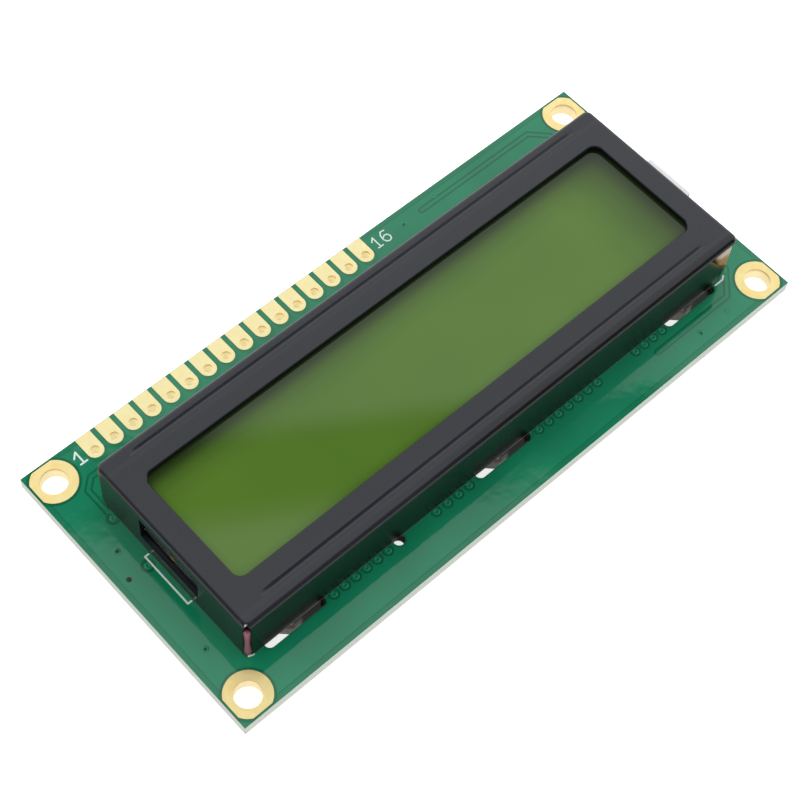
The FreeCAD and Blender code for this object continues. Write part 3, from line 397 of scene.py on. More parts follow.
# White legend ink, screened over the mask: matt, thin, and a little green where it is thinnest.
def ink_material():
    material, tree, place = start_material("white_legend_ink")
    patches = add(tree, "TexNoise", {"Vector": place, "Scale": grains(0.25), "Detail": 3.0})["Fac"]
    thin = add(tree, "MapRange", (patches, 0.35, 0.6, 0.25, 0.0))[0]
    tint = add(tree, "Mix", {0: thin, 6: linear("F1FFF8"), 7: linear("BDE6D2")}, data_type="RGBA")[2]
    return end_material(material, tree, add(tree, "BsdfPrincipled", {"Base Color": tint, "Roughness": 0.6})[0])


# A black sheet over the moulding's end, put in as painted shade where the west port shows dark: smooth and glossy,
# with a few soft creases drawn out along it.
def port_shade_material():
    material, tree, place = start_material("black_sheet_painted_shade")
    patches = add(tree, "TexNoise", {"Vector": place, "Scale": grains(1.4), "Detail": 3.0})["Fac"]
    tint = add(tree, "Mix", {0: patches, 6: linear("101113"), 7: linear("191A1D")}, data_type="RGBA")[2]
    drawn_out = add(tree, "Mapping", {"Vector": place, "Scale": (1.0, 0.25, 1.6)})[0]
    creases = add(tree, "TexNoise", {"Vector": drawn_out, "Scale": grains(0.8), "Detail": 2.0})["Fac"]
    creased = add(tree, "Bump", {"Height": creases, "Distance": 0.05 * MM})[0]
    shader = add(tree, "BsdfPrincipled", {"Base Color": tint, "Roughness": 0.12, "IOR": 1.55, "Normal": creased})
    return end_material(material, tree, shader[0])


# Clear adhesive that has run out of the cell's seams, coloured grey as a painted highlight of the bright hairlines
# there, and set amber at the plug, where it is thick.
def adhesive_highlight_material():
    material, tree, place = start_material("amber_adhesive_painted_highlight")
    patches = add(tree, "TexNoise", {"Vector": place, "Scale": grains(0.7), "Detail": 3.0})["Fac"]
    tint = add(tree, "Mix", {0: patches, 6: linear("4E504E"), 7: linear("767A78")}, data_type="RGBA")[2]
    off = add(tree, "Math", (add(tree, "SeparateXYZ", (place,))["Y"], 0.7 * MM), operation="ADD")[0]
    off = add(tree, "Math", (off,), operation="ABSOLUTE")[0]
    at_plug = add(tree, "MapRange", (off, 0.35 * MM, 0.8 * MM, 1.0, 0.0))[0]
    tint = add(tree, "Mix", {0: at_plug, 6: tint, 7: linear("8A6A34")}, data_type="RGBA")[2]
    shader = add(tree, "BsdfPrincipled", {"Base Color": tint, "Roughness": 0.1, "IOR": 1.5})
    return end_material(material, tree, shader[0])


MASK_ON_COPPER = copper_mask_material()
MASK_POOLED = thick_mask_material()
GOLD = gold_material()
RUBBER = rubber_material()
CREAM = tray_material()
INK = ink_material()
PORT_SHADE_SHEET = port_shade_material()
ADHESIVE_AND_HIGHLIGHT = adhesive_highlight_material()
BLACK_LACQUER = bezel_material()
# Glob-top epoxy, dispensed as a drop and baked: dull black, with a soft sheen and slow waves.
GLOB = mottled("glob_top_epoxy", "141416", "1E1E20", 2.5, {"IOR": 1.5}, shine=(0.8, 0.32, 0.5),
               relief=(1.8, 0.05))
# Tin over nickel on a chip resistor's ends: satin silver, a little mottled.
CAPS = mottled("plated_end_caps", "C3C3C0", "DBDBD7", 0.3, {"Metallic": 1.0, "Roughness": 0.32},
               relief=(0.15, 0.006))
# Rosin flux left over from soldering: brown, glassy, with dark patches.
FLUX = mottled("burnt_rosin", "0F0F0C", "3C3428", 0.3, {"Roughness": 0.3}, contrast=(0.35, 0.65))
# Tin solder, set from the melt: bright silver with a slightly frosted skin.
SOLDER = mottled("tin_solder", "B9BBBD", "D3D4D4", 0.6, {"Metallic": 1.0}, shine=(0.3, 0.18, 0.38),
                 relief=(0.25, 0.01))
FINISHES = {
    "board_green": board_material(), "gold_plating": GOLD, "bezel_black": BLACK_LACQUER, "solder": SOLDER,
    "tray_cream": CREAM, "strip_rubber": RUBBER, "dome_epoxy": GLOB,
    "polariser_front": polariser_material(), "guide_acrylic": guide_material(),
    # Silvery transflective film under the rear polariser: even and satin.
    "polariser_rear": mottled("transflective_film", "9AA88A", "A9B79A", 2.0, {"Roughness": 0.3}),
    # Soda-lime float glass, cut by scoring: clear, with bright, slightly green edges.
    "cell_glass": mottled("float_glass", "DDEFE6", "E8F5EE", 4.0, {"IOR": 1.52, "Transmission Weight": 0.85},
                          shine=(1.0, 0.02, 0.06)),
    # Liquid crystal between rubbed plates: a clear yellow-green film.
    "liquid_crystal": mottled("liquid_crystal_film", "7F9A4A", "88A352", 3.0, {"Roughness": 0.2}),
    # Screen-printed epoxy seal: milky and slightly uneven.
    "cell_seal": mottled("epoxy_seal", "B9BDB2", "D2D5CB", 0.6, {"Roughness": 0.45}),
    # White polyester films of the backlight: matt and even, with a faint fibrous cloud.
    "diffuser_white": mottled("white_polyester_film", "E6E8E4", "F2F3F0", 1.5, {"Roughness": 0.6}),
    # Cast white epoxy over the lamp's chips: milky and smooth, and light passes a little way into it.
    "lamp_milky": mottled("milky_cast_epoxy", "F6F9FB", "FCFDFD", 1.5,
                          {"Roughness": 0.22, "IOR": 1.52, "Subsurface Weight": 0.6,
                           "Subsurface Radius": (1.6 * MM, 1.6 * MM, 1.7 * MM)}, contrast=(0.3, 0.7)),
    # Drawn and tinned copper wire: satin silver with a fine grain.
    "tinned_wire": mottled("tinned_copper_wire", "C4C2BC", "DAD8D2", 0.4, {"Metallic": 1.0, "Roughness": 0.28},
                           relief=(0.1, 0.004)),
    # Printed resistor film under black overglaze on a ceramic chip: even and faintly glossy.
    "resistor_black": mottled("black_overglaze", "17171A", "222226", 0.3, {"Roughness": 0.35},
                              relief=(0.15, 0.006)),
}
for node in NODES.values():
    for holder in node.material_slots:
        holder.material = FINISHES[holder.name.split(".")[0]]


def extent(name):
    """A node's lowest and highest corners in millimetres."""
    return [np.array(corner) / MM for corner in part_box(name)]


def new_piece(name, points_mm, faces, material, slot, smooth_below=None):
    """A mesh object at the origin from points in millimetres, its doubled points merged and its faces turned
    outward. Angles under smooth_below degrees are shaded round."""
    mesh = bpy.data.meshes.new(name)
    mesh.from_pydata(np.asarray(points_mm) * MM, [], [tuple(f) for f in faces])
    form = bmesh.new()
    form.from_mesh(mesh)
    bmesh.ops.remove_doubles(form, verts=form.verts, dist=1e-8)
    bmesh.ops.recalc_face_normals(form, faces=form.faces)
    form.to_mesh(mesh)
    form.free()
    if smooth_below is not None:
        mesh.shade_smooth()
        mesh.set_sharp_from_angle(angle=math.radians(smooth_below))
    mesh.materials.append(material)
    piece = bpy.data.objects.new(name, mesh)
    bpy.context.scene.collection.objects.link(piece)
    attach(piece, "root")
    return piece


def grid_faces(rows, columns, wrap):
    """Four-cornered faces between the points of a grid that are kept row by row. wrap joins its last column to its
    first."""
    row, column = np.meshgrid(np.arange(rows - 1), np.arange(columns if wrap else columns - 1), indexing="ij")
    here, beside = row * columns + column, row * columns + (column + 1) % columns
    return np.stack([here, beside, beside + columns, here + columns], -1).reshape(-1, 4).tolist()


def together(*shells):
    """Joins several (points, faces) shells into one."""
    shifts = np.cumsum([0] + [len(points) for points, _ in shells])
    return (np.vstack([points for points, _ in shells]),
            [[corner + shift for corner in face] for (_, faces), shift in zip(shells, shifts) for face in faces])


def turned(profile, x, y, count=40):
    """A turned form: each (radius, height) of the profile is carried round an upright axis at x, y, so a point is
    at x + radius cos, y + radius sin, height. A radius of 0 closes it."""
    radius, height = np.asarray(profile, float).T
    turn = np.linspace(0.0, 2.0 * np.pi, count, endpoint=False)
    points = np.stack([x + np.outer(radius, np.cos(turn)), y + np.outer(radius, np.sin(turn)),
                       np.outer(height, np.ones(count))], -1)
    return points.reshape(-1, 3), grid_faces(len(radius), count, True)


def round_block(low, high, radius, steps=5):
    """A block with round edges: the block shrunk by radius, plus a ball of that radius. Each eighth of the ball
    stays at its own corner of the shrunk block, and the flats span the gaps between them."""
    low, high = np.asarray(low, float), np.asarray(high, float)
    quarter = np.linspace(0.0, np.pi / 2, steps)
    turn = np.concatenate([quarter + k * np.pi / 2 for k in range(4)])
    tilt = np.concatenate([quarter - np.pi / 2, quarter])
    grid = (2 * steps, 4 * steps)
    side = np.stack([np.repeat([1, -1, -1, 1], steps), np.repeat([1, 1, -1, -1], steps)], -1)
    end = np.repeat([-1, 1], steps)
    level_part = np.cos(tilt)[:, None, None] * np.stack([np.cos(turn), np.sin(turn)], -1)[None]
    upright_part = np.broadcast_to(np.sin(tilt)[:, None, None], (*grid, 1))
    ball = np.concatenate([level_part, upright_part], -1)
    corner = np.concatenate([np.broadcast_to(side[None], (*grid, 2)),
                             np.broadcast_to(end[:, None, None], (*grid, 1))], -1)
    points = (low + high) / 2 + corner * ((high - low) / 2 - radius) + radius * ball
    last = (2 * steps - 1) * 4 * steps
    caps = [[k * steps for k in (3, 2, 1, 0)], [last + k * steps for k in range(4)]]
    return points.reshape(-1, 3), grid_faces(*grid, True) + caps


def bead(start, end, sag, radius, steps=24, sides=8):
    """A bead of adhesive: a small circle carried along a line from start to end that sags as a sine."""
    share = np.linspace(0.0, 1.0, steps)[:, None]
    spine = np.asarray(start) + share * (np.asarray(end) - np.asarray(start))
    spine[:, 2:] -= sag * np.sin(np.pi * share)
    turn = np.linspace(0.0, 2.0 * np.pi, sides, endpoint=False)
    ring = np.column_stack([np.cos(turn), np.zeros(sides), np.sin(turn)]) * radius
    return (spine[:, None, :] + ring[None]).reshape(-1, 3), grid_faces(steps, sides, True)


def eased(share):
    """A share from 0 to 1 that starts and ends gently: 3 share squared less 2 share cubed."""
    return share * share * (3.0 - 2.0 * share)


def pressed_line(south, north, low_y, west=-31.84, east=31.84, flank=0.42, depth=0.12, columns=120):
    """A strip of plate from south to north with a dent along low_y. North of it the plate drops by depth within
    flank, as a gentle step. South of it the plate climbs back by a third of depth in a straight slope. The dent
    fades to nothing in the last millimetre at each end. The underside is flat."""
    along = np.linspace(west, east, columns)
    y = np.unique(np.concatenate([np.linspace(south, low_y, 9), np.linspace(low_y, low_y + flank, 14), [north]]))
    drop = eased(np.clip((low_y + flank - y) / flank, 0.0, 1.0))
    climb = np.clip((y - south) / (low_y - south), 0.0, 1.0)
    fade = eased(np.clip(np.minimum(along - west, east - along), 0.0, 1.0))
    top = PLATE_TOP - 0.0005 - fade[:, None] * depth * np.minimum(drop, 0.67 + 0.33 * climb)[None]
    loop_y = np.concatenate([y, [north - 0.2, south + 0.2]])
    loop_z = np.hstack([top, np.full((columns, 2), PLATE_TOP - 0.24)])
    points = np.stack([np.repeat(along[:, None], len(loop_y), 1), np.broadcast_to(loop_y, loop_z.shape), loop_z],
                      -1)
    last = (columns - 1) * len(loop_y)
    ends = [list(range(len(loop_y))), [last + k for k in reversed(range(len(loop_y)))]]
    return points.reshape(-1, 3), grid_faces(columns, len(loop_y), True) + ends


def circle(x, y, radius, count=32):
    """A ring of points: centre plus radius times cosine and sine of evenly spaced angles."""
    turn = np.linspace(0.0, 2.0 * np.pi, count, endpoint=False)
    return np.column_stack([x + radius * np.cos(turn), y + radius * np.sin(turn)])


def bar(start, end, width, count=9):
    """A round-ended bar: half a circle round each end, joined by straight sides."""
    start, end = np.asarray(start, float), np.asarray(end, float)
    heading = math.atan2(*(end - start)[::-1])
    sweep = np.linspace(-np.pi / 2, np.pi / 2, count) + heading
    arc = np.column_stack([np.cos(sweep), np.sin(sweep)]) * width / 2
    return np.vstack([end + arc, start - arc])


def drawn(paths, width):
    """Drawn lines: one round-ended bar for each leg of each path."""
    return [bar(a, b, width) for path in paths for a, b in zip(path[:-1], path[1:])]


def block(west, south, east, north):
    """A rectangle's four corners."""
    return np.array([(west, south), (east, south), (east, north), (west, north)], float)


def flat_plate(name, outlines, cuts, low, high, material, slot):
    """A flat plate with upright rims: a point belongs to it when it lies inside an outline and outside every cut.
    The plane is split into triangles along all the outlines, the ones that belong are kept at both heights, and
    each edge with a kept triangle on one side only gets a wall."""
    loops = [np.asarray(loop, float) for loop in [*outlines, *cuts]]
    points = np.vstack(loops)
    ends = np.cumsum([len(loop) for loop in loops])
    rings = [list(range(end - len(loop), end)) for end, loop in zip(ends, loops)]
    found, _, triangles, _, _, owners = delaunay_2d_cdt([Vector(p) for p in points], [], rings, 0, 1e-5)
    solid_count = len(outlines)
    kept = np.array([t for t, o in zip(triangles, owners) if o and min(o) < solid_count and max(o) < solid_count])
    flat = np.array([tuple(v) for v in found])
    total = len(flat)
    starts, stops = kept.ravel(), np.roll(kept, -1, axis=1).ravel()
    open_edge = ~np.isin(starts * total + stops, stops * total + starts)
    walls = np.column_stack([starts[open_edge], stops[open_edge], stops[open_edge] + total,
                             starts[open_edge] + total])
    corners = np.vstack([np.column_stack([flat, np.full(total, level)]) for level in (low, high)])
    faces = [*(kept + total).tolist(), *kept[:, ::-1].tolist(), *walls.tolist()]
    used = np.unique(np.concatenate([np.ravel(f) for f in faces]))
    place = np.full(len(corners), -1)
    place[used] = np.arange(len(used))
    return new_piece(name, corners[used], [place[f] for f in faces], material, slot)


# A covered through hole: the mask sags into the hole and stands up in a ring round it. Radius and height.
VIA_PROFILE = [(0.0, -0.05), (0.08, -0.03), (0.16, 0.028), (0.26, 0.034), (0.36, 0.02), (0.42, -0.01)]


def via_field(name, places, level, up):
    """Tented vias: the profile turned round each place. up is 1 on the board's top and -1 on its back."""
    shells = [turned([(r, level + up * h) for r, h in VIA_PROFILE], x, y, 16) for x, y in places]
    return new_piece(name, *together(*shells), MASK_ON_COPPER, "board_green", 60)


# Copper of the board's top side: ground on the whole face, cleared round tracks, pads, holes and slots. It stops
# under the bezel's walls, where nobody sees it. Each ROOM is how wide the ground is cleared round a thing.
TRACK_WIDTH, BACK_TRACK_WIDTH, TRACK_ROOM = 0.38, 0.32, 0.84
PAD_RADIUS, PAD_ROOM = 0.45, 0.8
VIA_RADIUS, VIA_ROOM, LONE_VIA_RADIUS = 0.42, 0.66, 0.3
RING_RADIUS, RING_ROOM = 2.42, 2.85  # gold rings of the mounting holes
GROUND = block(-39.35, -17.35, 39.35, 17.35)
TRACES = [
    [(21.9, -14.7), (33.3, -14.7), (35.95, -12.0), (35.95, -4.5)],
    [(15.1, 16.2), (32.1, 16.2), (34.0, 14.3), (34.0, 10.5)],
    [(-18.0, 13.5), (-34.3, 13.5), (-35.5, 12.4), (-35.5, 9.1), (-34.6, 8.2)],
]
ROUND_PADS = [(-35.5, 8.2), (-36.2, 1.7)]
# Rows of covered holes along the south side: first, last, count.
VIA_ROWS = ((-24.1, -16.7, 6), (-9.9, -5.2, 4), (5.1, 14.05, 7), (20.1, 24.3, 4))
vias = [(x, -13.0) for first, last, count in VIA_ROWS for x in np.linspace(first, last, count)]
LONE_VIAS = [(-37.55, 5.0), (-37.6, -9.1), (12.2, 16.05), (27.4, -16.15), (31.9, -16.1), (17.5, 16.8)]
bezel_low, bezel_high = extent("bezel")
hidden_by_bezel = block(bezel_low[0] - 0.05, bezel_low[1] - 0.05, bezel_high[0] + 0.05, bezel_high[1] + 0.05)
slot_cuts = [bar((x - 3.5, y), (x + 3.5, y), 1.75) for x in SLOT_CENTRES for y in SLOT_ROWS]
mount_cuts = [circle(x, y, RING_ROOM, 64) for x, y in MOUNT_PLACES]
terminal_cuts = [bar((x, 15.3), (x, 18.2), 2.15) for x in TERMINALS]
trace_cuts = drawn(TRACES, TRACK_ROOM)
round_cuts = [circle(x, y, PAD_ROOM) for x, y in ROUND_PADS] + [circle(x, y, VIA_ROOM) for x, y in vias]
tooling_cut = circle(-15.0, -12.85, 0.85)
traces = drawn(TRACES, TRACK_WIDTH)
pads = [circle(x, y, PAD_RADIUS) for x, y in ROUND_PADS]
flat_plate("copper_ground_top", [GROUND],
           [hidden_by_bezel, *slot_cuts, *mount_cuts, *trace_cuts, *round_cuts, *terminal_cuts, tooling_cut],
           BOARD_TOP, FOIL_TOP, MASK_ON_COPPER, "board_green")
flat_plate("copper_tracks_top", traces + pads, [hidden_by_bezel], BOARD_TOP, FOIL_TOP, MASK_ON_COPPER,
           "board_green")

# The mask lies thick in each gap between ground and track, and along the edge of the ground.
ground_edge = drawn([[(-39.35, 17.35), (-39.35, -17.35), (39.35, -17.35), (39.35, 17.35), (9.0, 17.35)]], 0.13)
beyond_board = [block(39.97, -30, 60, 30), block(-60, -30, -39.97, 30),
                block(-50, 17.97, 50, 30), block(-50, -30, 50, -17.97)]
flat_plate("mask_pooled_by_copper",
           [*ground_edge, *mount_cuts, *trace_cuts, *round_cuts,
            *[circle(x, y, LONE_VIA_RADIUS) for x, y in LONE_VIAS]],
           [hidden_by_bezel, *beyond_board, *[circle(x, y, RING_RADIUS, 64) for x, y in MOUNT_PLACES],
            *traces, *pads, *[circle(x, y, VIA_RADIUS) for x, y in vias]],
           BOARD_TOP, FOIL_TOP - 0.001, MASK_POOLED, "board_green")
via_field("tented_vias_top", vias + LONE_VIAS + ROUND_PADS, BOARD_TOP + 0.012, 1)

# Rosin left on five of the covered holes: place and radius.
FLUX_SPOTS = [(-38.6, 1.74, 0.28), (-37.55, 5.0, 0.2), (-37.6, -9.1, 0.14), (12.2, 16.05, 0.12),
              (27.4, -16.15, 0.12)]
flat_plate("flux_spots", [circle(x, y, r, 20) for x, y, r in FLUX_SPOTS], [], FOIL_TOP, FOIL_TOP + 0.035, FLUX,
           "board_green")
flat_plate("terminal_edge_plating",
           [block(x - TERMINAL_WIDTH / 2, 17.5, x + TERMINAL_WIDTH / 2, 17.94) for x in TERMINALS], [],
           BOARD_TOP, BOARD_TOP + 0.045, GOLD, "gold_plating")

# Print: the bracket by the west port, the numbers of the first and last terminals, and two short corner marks.
BRACKET = [(-35.35, 2.68), (-35.8, 2.68), (-35.8, -4.19), (-35.35, -4.19)]
ONE = [[(-34.35, 16.25), (-33.78, 16.85), (-33.78, 15.3)], [(-34.2, 15.3), (-33.36, 15.3)]]
SIXTEEN = [[(7.75, 16.55), (8.2, 17.0), (8.2, 15.5)], [(7.85, 15.5), (8.55, 15.5)],
           [(9.9, 16.95), (9.4, 17.0), (9.1, 16.6), (9.02, 16.0), (9.2, 15.6), (9.55, 15.45), (9.9, 15.6),
            (10.0, 15.95), (9.85, 16.3), (9.5, 16.4), (9.15, 16.2)]]
MARKS = [[(33.35, -12.86), (34.55, -12.86), (35.0, -12.55)], [(-34.88, -12.5), (-34.35, -12.66)]]
flat_plate("printed_legend", drawn([BRACKET, *ONE, *MARKS], 0.2) + drawn(SIXTEEN, 0.16),
           [block(-35.1, -12.3, 35.3, 10.9)], FOIL_TOP, FOIL_TOP + INK_RISE, INK, "board_green")

# South contact strip. Its west end swells out of the open corner between the folded walls: radius and height.
SWELL = [(0.0, 1.64), (0.13, 1.66), (0.16, 2.1), (0.27, 2.3), (0.37, 2.5), (0.38, 2.8), (0.32, 3.5), (0.27, 4.3),
         (0.28, 5.2), (0.33, 6.2), (0.36, 6.9), (0.32, 7.25), (0.16, 7.42), (0.0, 7.45)]
STRIP_EAST = 32.4  # where the backlight's corner post begins
strip_low, strip_high = extent("connector_strip_south")
strip = new_piece("south_contact_strip",
                  *together(round_block(strip_low, (STRIP_EAST, *strip_high[1:]), 0.22),
                            turned(SWELL, -34.8, -12.28, 32)), RUBBER, "strip_rubber", 50)
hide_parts("connector_strip_south")

# Corner post of the backlight's moulding, seen past the tongue at the south-east.
new_piece("backlight_corner_post", *round_block((32.65, -12.55, 3.2), (35.1, -11.2, 7.7), 0.6, 7), CREAM,
          "tray_cream", 50)

# Ribs. The tool presses each with one steep flank and one gentle one, so it reads as a thin dark line.
new_piece("pressed_rib_lines",
          *together(pressed_line(-10.93, -9.97, -10.74), pressed_line(9.37, 10.33, 9.58)), BLACK_LACQUER,
          "bezel_black", 40)

# West port: a black sheet over the moulding's end as painted shade, the adhesive seams of the cell, grey as a
# painted highlight, and the plug of its filling hole.
new_piece("west_port_shade_sheet", *round_block((-34.62, -5.9, 1.8), (-34.52, 4.7, 7.9), 0.03, 3), PORT_SHADE_SHEET,
          "bezel_black", 50)
new_piece("cell_edge_adhesive_highlights",
          *together(bead((-34.65, 3.7, 5.0), (-34.65, -0.6, 4.82), 0.06, 0.022),
                    bead((-34.65, -0.6, 4.8), (-34.65, -5.2, 5.0), 0.1, 0.022),
                    bead((-34.65, 0.4, 4.72), (-34.65, -3.6, 4.7), 0.03, 0.018),
                    round_block((-34.72, 3.7, 4.68), (-34.62, 3.86, 4.86), 0.04, 4),
                    round_block((-34.72, -5.3, 4.6), (-34.62, -5.14, 4.78), 0.04, 4),
                    round_block((-34.72, -0.95, 4.7), (-34.6, -0.25, 4.98), 0.05, 4)),
          ADHESIVE_AND_HIGHLIGHT, "lamp_milky", 60)

# The board's back: drops of epoxy over the two chips, each with its place and radius. A drop is a bulge that
# flattens towards its crown.
DOMES = {"controller_chip_dome": (-15.5, -1.2, 7.6), "driver_chip_dome": (14.5, -1.2, 6.6)}
DOME_HEIGHT = 1.25
for name, (x, y, radius) in DOMES.items():
    slope = np.linspace(0.0, np.pi / 2, 28)
    bulge = np.column_stack([radius * np.sin(slope), -DOME_HEIGHT * np.cos(slope) ** 1.35])
    drop = new_piece(name + "_glob", *turned(np.vstack([bulge, [(0.0, 0.0)]]), x, y, 96), GLOB, "dome_epoxy", 45)
    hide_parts(name)

# Each chip resistor gets a plated cap, a fillet of solder and a land at both ends.
caps, fillets, solder_lands = [], [], []
for name in [node for node in NODES if "_resistor" in node]:
    low, high = extent(name)
    longways = int(high[1] - low[1] > high[0] - low[0])
    for end in (-1, 1):
        tip = (high if end > 0 else low)[longways]
        cap_low, cap_high = low - 0.03, high + 0.03
        cap_high[2] = 0.0
        cap_low[longways], cap_high[longways] = sorted((tip + end * 0.03, tip - end * 0.38))
        caps.append(round_block(cap_low, cap_high, 0.05, 3))
        joint_low, joint_high = low + 0.08, high - 0.08
        joint_low[2], joint_high[2] = -0.3, 0.12
        joint_low[longways], joint_high[longways] = sorted((tip - end * 0.1, tip + end * 0.4))
        fillets.append(round_block(joint_low, joint_high, 0.14, 5))
        land_low, land_high = np.minimum(joint_low, cap_low) - 0.08, np.maximum(joint_high, cap_high) + 0.08
        solder_lands.append(block(*land_low[:2], *land_high[:2]))
new_piece("resistor_end_caps", *together(*caps), CAPS, "solder", 50)
new_piece("resistor_solder_joints", *together(*fillets), SOLDER, "solder", 50)
flat_plate("resistor_lands", solder_lands, [], -0.03, 0.0, SOLDER, "solder")

# Solder round each of the lamp's leads: a cone that runs up the wire to its clipped end.
CONE = [(0.0, -1.12), (0.18, -1.1), (0.25, -1.02), (0.25, -0.7), (0.33, -0.6), (0.42, -0.42), (0.58, -0.22),
        (0.78, -0.09), (0.95, -0.03), (0.95, 0.0), (0.0, 0.0)]
for name in ("lamp_solder_cathode", "lamp_solder_anode"):
    lamp_x, lamp_y = (sum(extent(name)) / 2)[:2]
    joint = new_piece(name + "_cone", *turned(CONE, lamp_x, lamp_y, 40), SOLDER, "solder", 50)
    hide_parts(name)

# Copper of the back: a fan from the terminals to the controller, a bus to the driver, and the resistors' tracks.
dome_rims = [circle(x, y, radius + 0.3, 72) for x, y, radius in DOMES.values()]
lamp_rings = [circle(lamp_x, y, 1.25) for y in (-2.02, 0.52)]
fan = [[(x, 14.6), (x, 13.2), (-15.5 + 7.7 * math.cos(turn), 8.6),
        (-15.5 + 7.7 * math.cos(turn), -1.2 + 7.7 * math.sin(turn))]
       for x, turn in zip(TERMINALS[3:14], np.radians(np.linspace(152.0, 28.0, 11)))]
bus = [[(-8.2, y), (8.2, y)] for y in np.linspace(-4.2, 1.8, 7)]
feeds = [[(-28.5, 4.2), (-28.5, 5.6), (-26.5, 7.6), (-21.0, 7.6), (-18.4, 5.4)],
         [(-28.5, 1.8), (-28.5, -1.0), (-22.9, -1.0)],
         [(-8.0, 8.5), (-8.0, 10.0), (4.8, 10.0), (4.8, 8.5)],
         [(32.8, 4.5), (34.6, 4.5), (lamp_x, 2.6), (lamp_x, 0.5)],
         [(32.8, 2.1), (33.9, 2.1), (33.9, -2.0), (lamp_x, -2.0)],
         [(30.2, 4.5), (22.6, 4.5), (19.8, 3.0)]]
back_paths = [*fan, *bus, *feeds]
flat_plate("copper_ground_back", [GROUND],
           [*slot_cuts, *mount_cuts, *terminal_cuts, *dome_rims, *lamp_rings, *solder_lands, *round_cuts,
            tooling_cut, *drawn(back_paths, TRACK_ROOM)],
           -COPPER_RISE, 0.0, MASK_ON_COPPER, "board_green")
flat_plate("copper_tracks_back", drawn(back_paths, BACK_TRACK_WIDTH), [*dome_rims, *solder_lands, *lamp_rings],
           -COPPER_RISE, 0.0, MASK_ON_COPPER, "board_green")
via_field("tented_vias_back", vias + LONE_VIAS[:5], -0.012, -1)
outer_rings, inner_rings = ([circle(x, y, radius + more, 96) for x, y, radius in DOMES.values()]
                            for more in (0.75, 0.55))
flat_plate("printed_rings_back", outer_rings, inner_rings, -COPPER_RISE - INK_RISE, -COPPER_RISE, INK,
           "board_green")


# Pale paper floor under the tabs: matt and even. The camera and mirrors see it almost white, and it keeps the
# object's soft shadow.
def floor_material():
    material, tree, place = start_material("pale_studio_floor")
    cloud = add(tree, "TexNoise", {"Vector": place, "Scale": grains(60.0), "Detail": 2.0})["Fac"]
    tint = add(tree, "Mix", {0: cloud, 6: linear("F2F2F0"), 7: linear("F6F6F5")}, data_type="RGBA")[2]
    paper = add(tree, "BsdfDiffuse", {"Color": tint})[0]
    rays = add(tree, "LightPath")
    seen = add(tree, "Math", (rays["Is Camera Ray"], rays["Is Transmission Ray"]), operation="MAXIMUM")[0]
    mirrored = add(tree, "Math", (rays["Is Glossy Ray"], 0.25), operation="MULTIPLY")[0]
    seen = add(tree, "Math", (seen, mirrored), operation="MAXIMUM")[0]
    strength = add(tree, "Math", (seen, 0.75), operation="MULTIPLY")[0]
    glow = add(tree, "Emission", {"Strength": strength})[0]
    lit_paper = add(tree, "AddShader", (paper, glow))[0]
    behind = add(tree, "NewGeometry")["Backfacing"]
    clear = add(tree, "BsdfTransparent")[0]
    return end_material(material, tree, add(tree, "MixShader", (behind, lit_paper, clear))[0])


def floor():
    """A flat sheet 6 m square at the level of the tabs' ends."""
    corners = block(-3, -3, 3, 3)
    mesh = bpy.data.meshes.new("floor")
    mesh.from_pydata([Vector((x, y, FLOOR_LEVEL * MM)) for x, y in corners], [], [(0, 1, 2, 3)])
    mesh.materials.append(floor_material())
    made = bpy.data.objects.new("floor", mesh)
    bpy.context.scene.collection.objects.link(made)


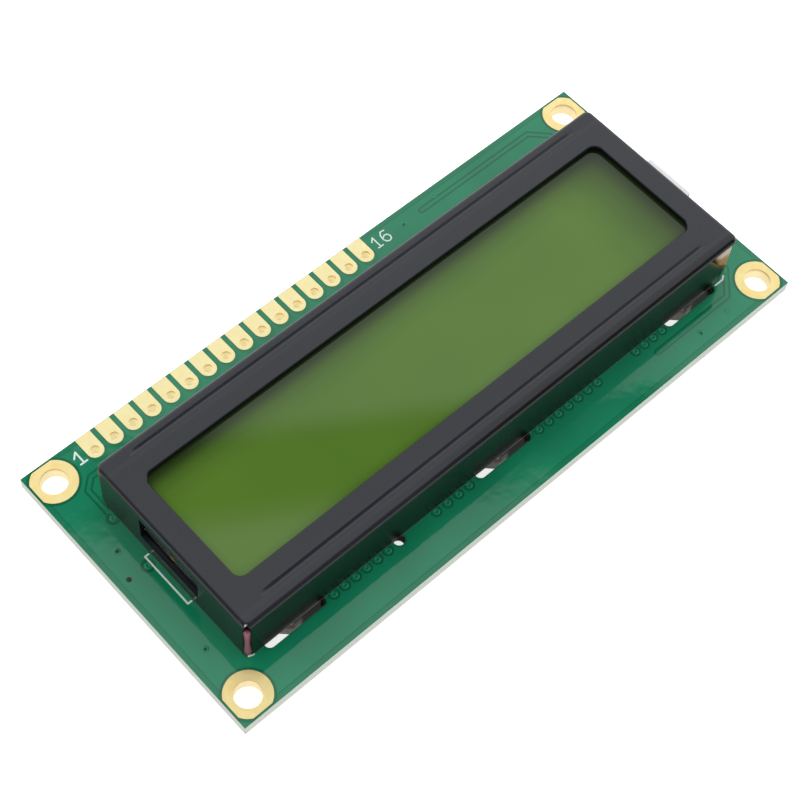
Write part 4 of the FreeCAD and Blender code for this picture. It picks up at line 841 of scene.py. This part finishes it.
def studio():
    """A white tent. Mirrors see its roof and its far side white, with a dark slit between them 27 degrees from
    overhead, and the open side, past overhead, dark. A soft panel behind the object gives the shadow."""
    world = bpy.data.worlds.new("white_tent")
    bpy.context.scene.world = world
    world.use_nodes = True
    tree = world.node_tree
    tree.nodes.clear()
    way = add(tree, "TexCoord")["Generated"]
    far_side = math.radians(56.7)
    across = (math.cos(far_side), math.sin(far_side), 0.0)
    along = add(tree, "VectorMath", (way, across), operation="DOT_PRODUCT")["Value"]
    up = add(tree, "SeparateXYZ", (way,))["Z"]
    lean = add(tree, "Math", (along, up), operation="ARCTAN2")[0]
    # Each seam of the cloth: angles from overhead between which it turns, and its light before and after.
    side_wall, roof_start, roof_end = (
        add(tree, "MapRange", (lean, math.radians(first), math.radians(last), before, after),
            interpolation_type="SMOOTHSTEP")[0]
        for first, last, before, after in ((28.6, 29.6, 0.0, 1.0), (2.0, 12.0, 0.0, 1.0), (25.7, 27.1, 1.0, 0.0)))
    roof = add(tree, "Math", (roof_start, roof_end), operation="MULTIPLY")[0]
    cloth = add(tree, "Math", (side_wall, roof), operation="ADD")[0]
    mirrored = add(tree, "MapRange", (cloth, 0.0, 1.0, 0.06, 1.0))[0]
    rays = add(tree, "LightPath")
    falling = add(tree, "MapRange", (rays["Is Glossy Ray"], 0.0, 1.0, 0.8, 0.0))[0]
    shown = add(tree, "Math", (mirrored, rays["Is Glossy Ray"]), operation="MULTIPLY")[0]
    strength = add(tree, "Math", (falling, shown), operation="ADD")[0]
    plain = add(tree, "Math", (rays["Is Camera Ray"], rays["Is Transmission Ray"]), operation="MAXIMUM")[0]
    strength = add(tree, "Math", (strength, plain), operation="MAXIMUM")[0]
    back = add(tree, "Background", ((1.0, 1.0, 1.0, 1.0), strength))[0]
    add(tree, "OutputWorld", (back,))
    panel = bpy.data.lights.new("key_panel", "AREA")
    panel.shape, panel.size, panel.energy = "SQUARE", 0.6, 1.5
    light = bpy.data.objects.new("key_panel", panel)
    light.location = (0.35, 0.30, 0.75)
    light.rotation_euler = light.location.to_track_quat("Z", "Y").to_euler()
    light.visible_glossy = False
    bpy.context.scene.collection.objects.link(light)


def camera():
    """The photograph's viewpoint, from its south-west and above."""
    data = bpy.data.cameras.new("camera")
    data.lens, data.sensor_width = 83.55, 36.0
    data.clip_start, data.clip_end = 0.01, 20.0
    made = bpy.data.objects.new("camera", data)
    made.location = (-0.07822536, -0.06818682, 0.17368329)
    made.rotation_euler = [math.radians(angle) for angle in (30.1595, -3.0980, -42.5044)]
    bpy.context.scene.collection.objects.link(made)
    bpy.context.scene.camera = made


floor()
studio()
camera()
bpy.context.scene.view_settings.view_transform = "Standard"
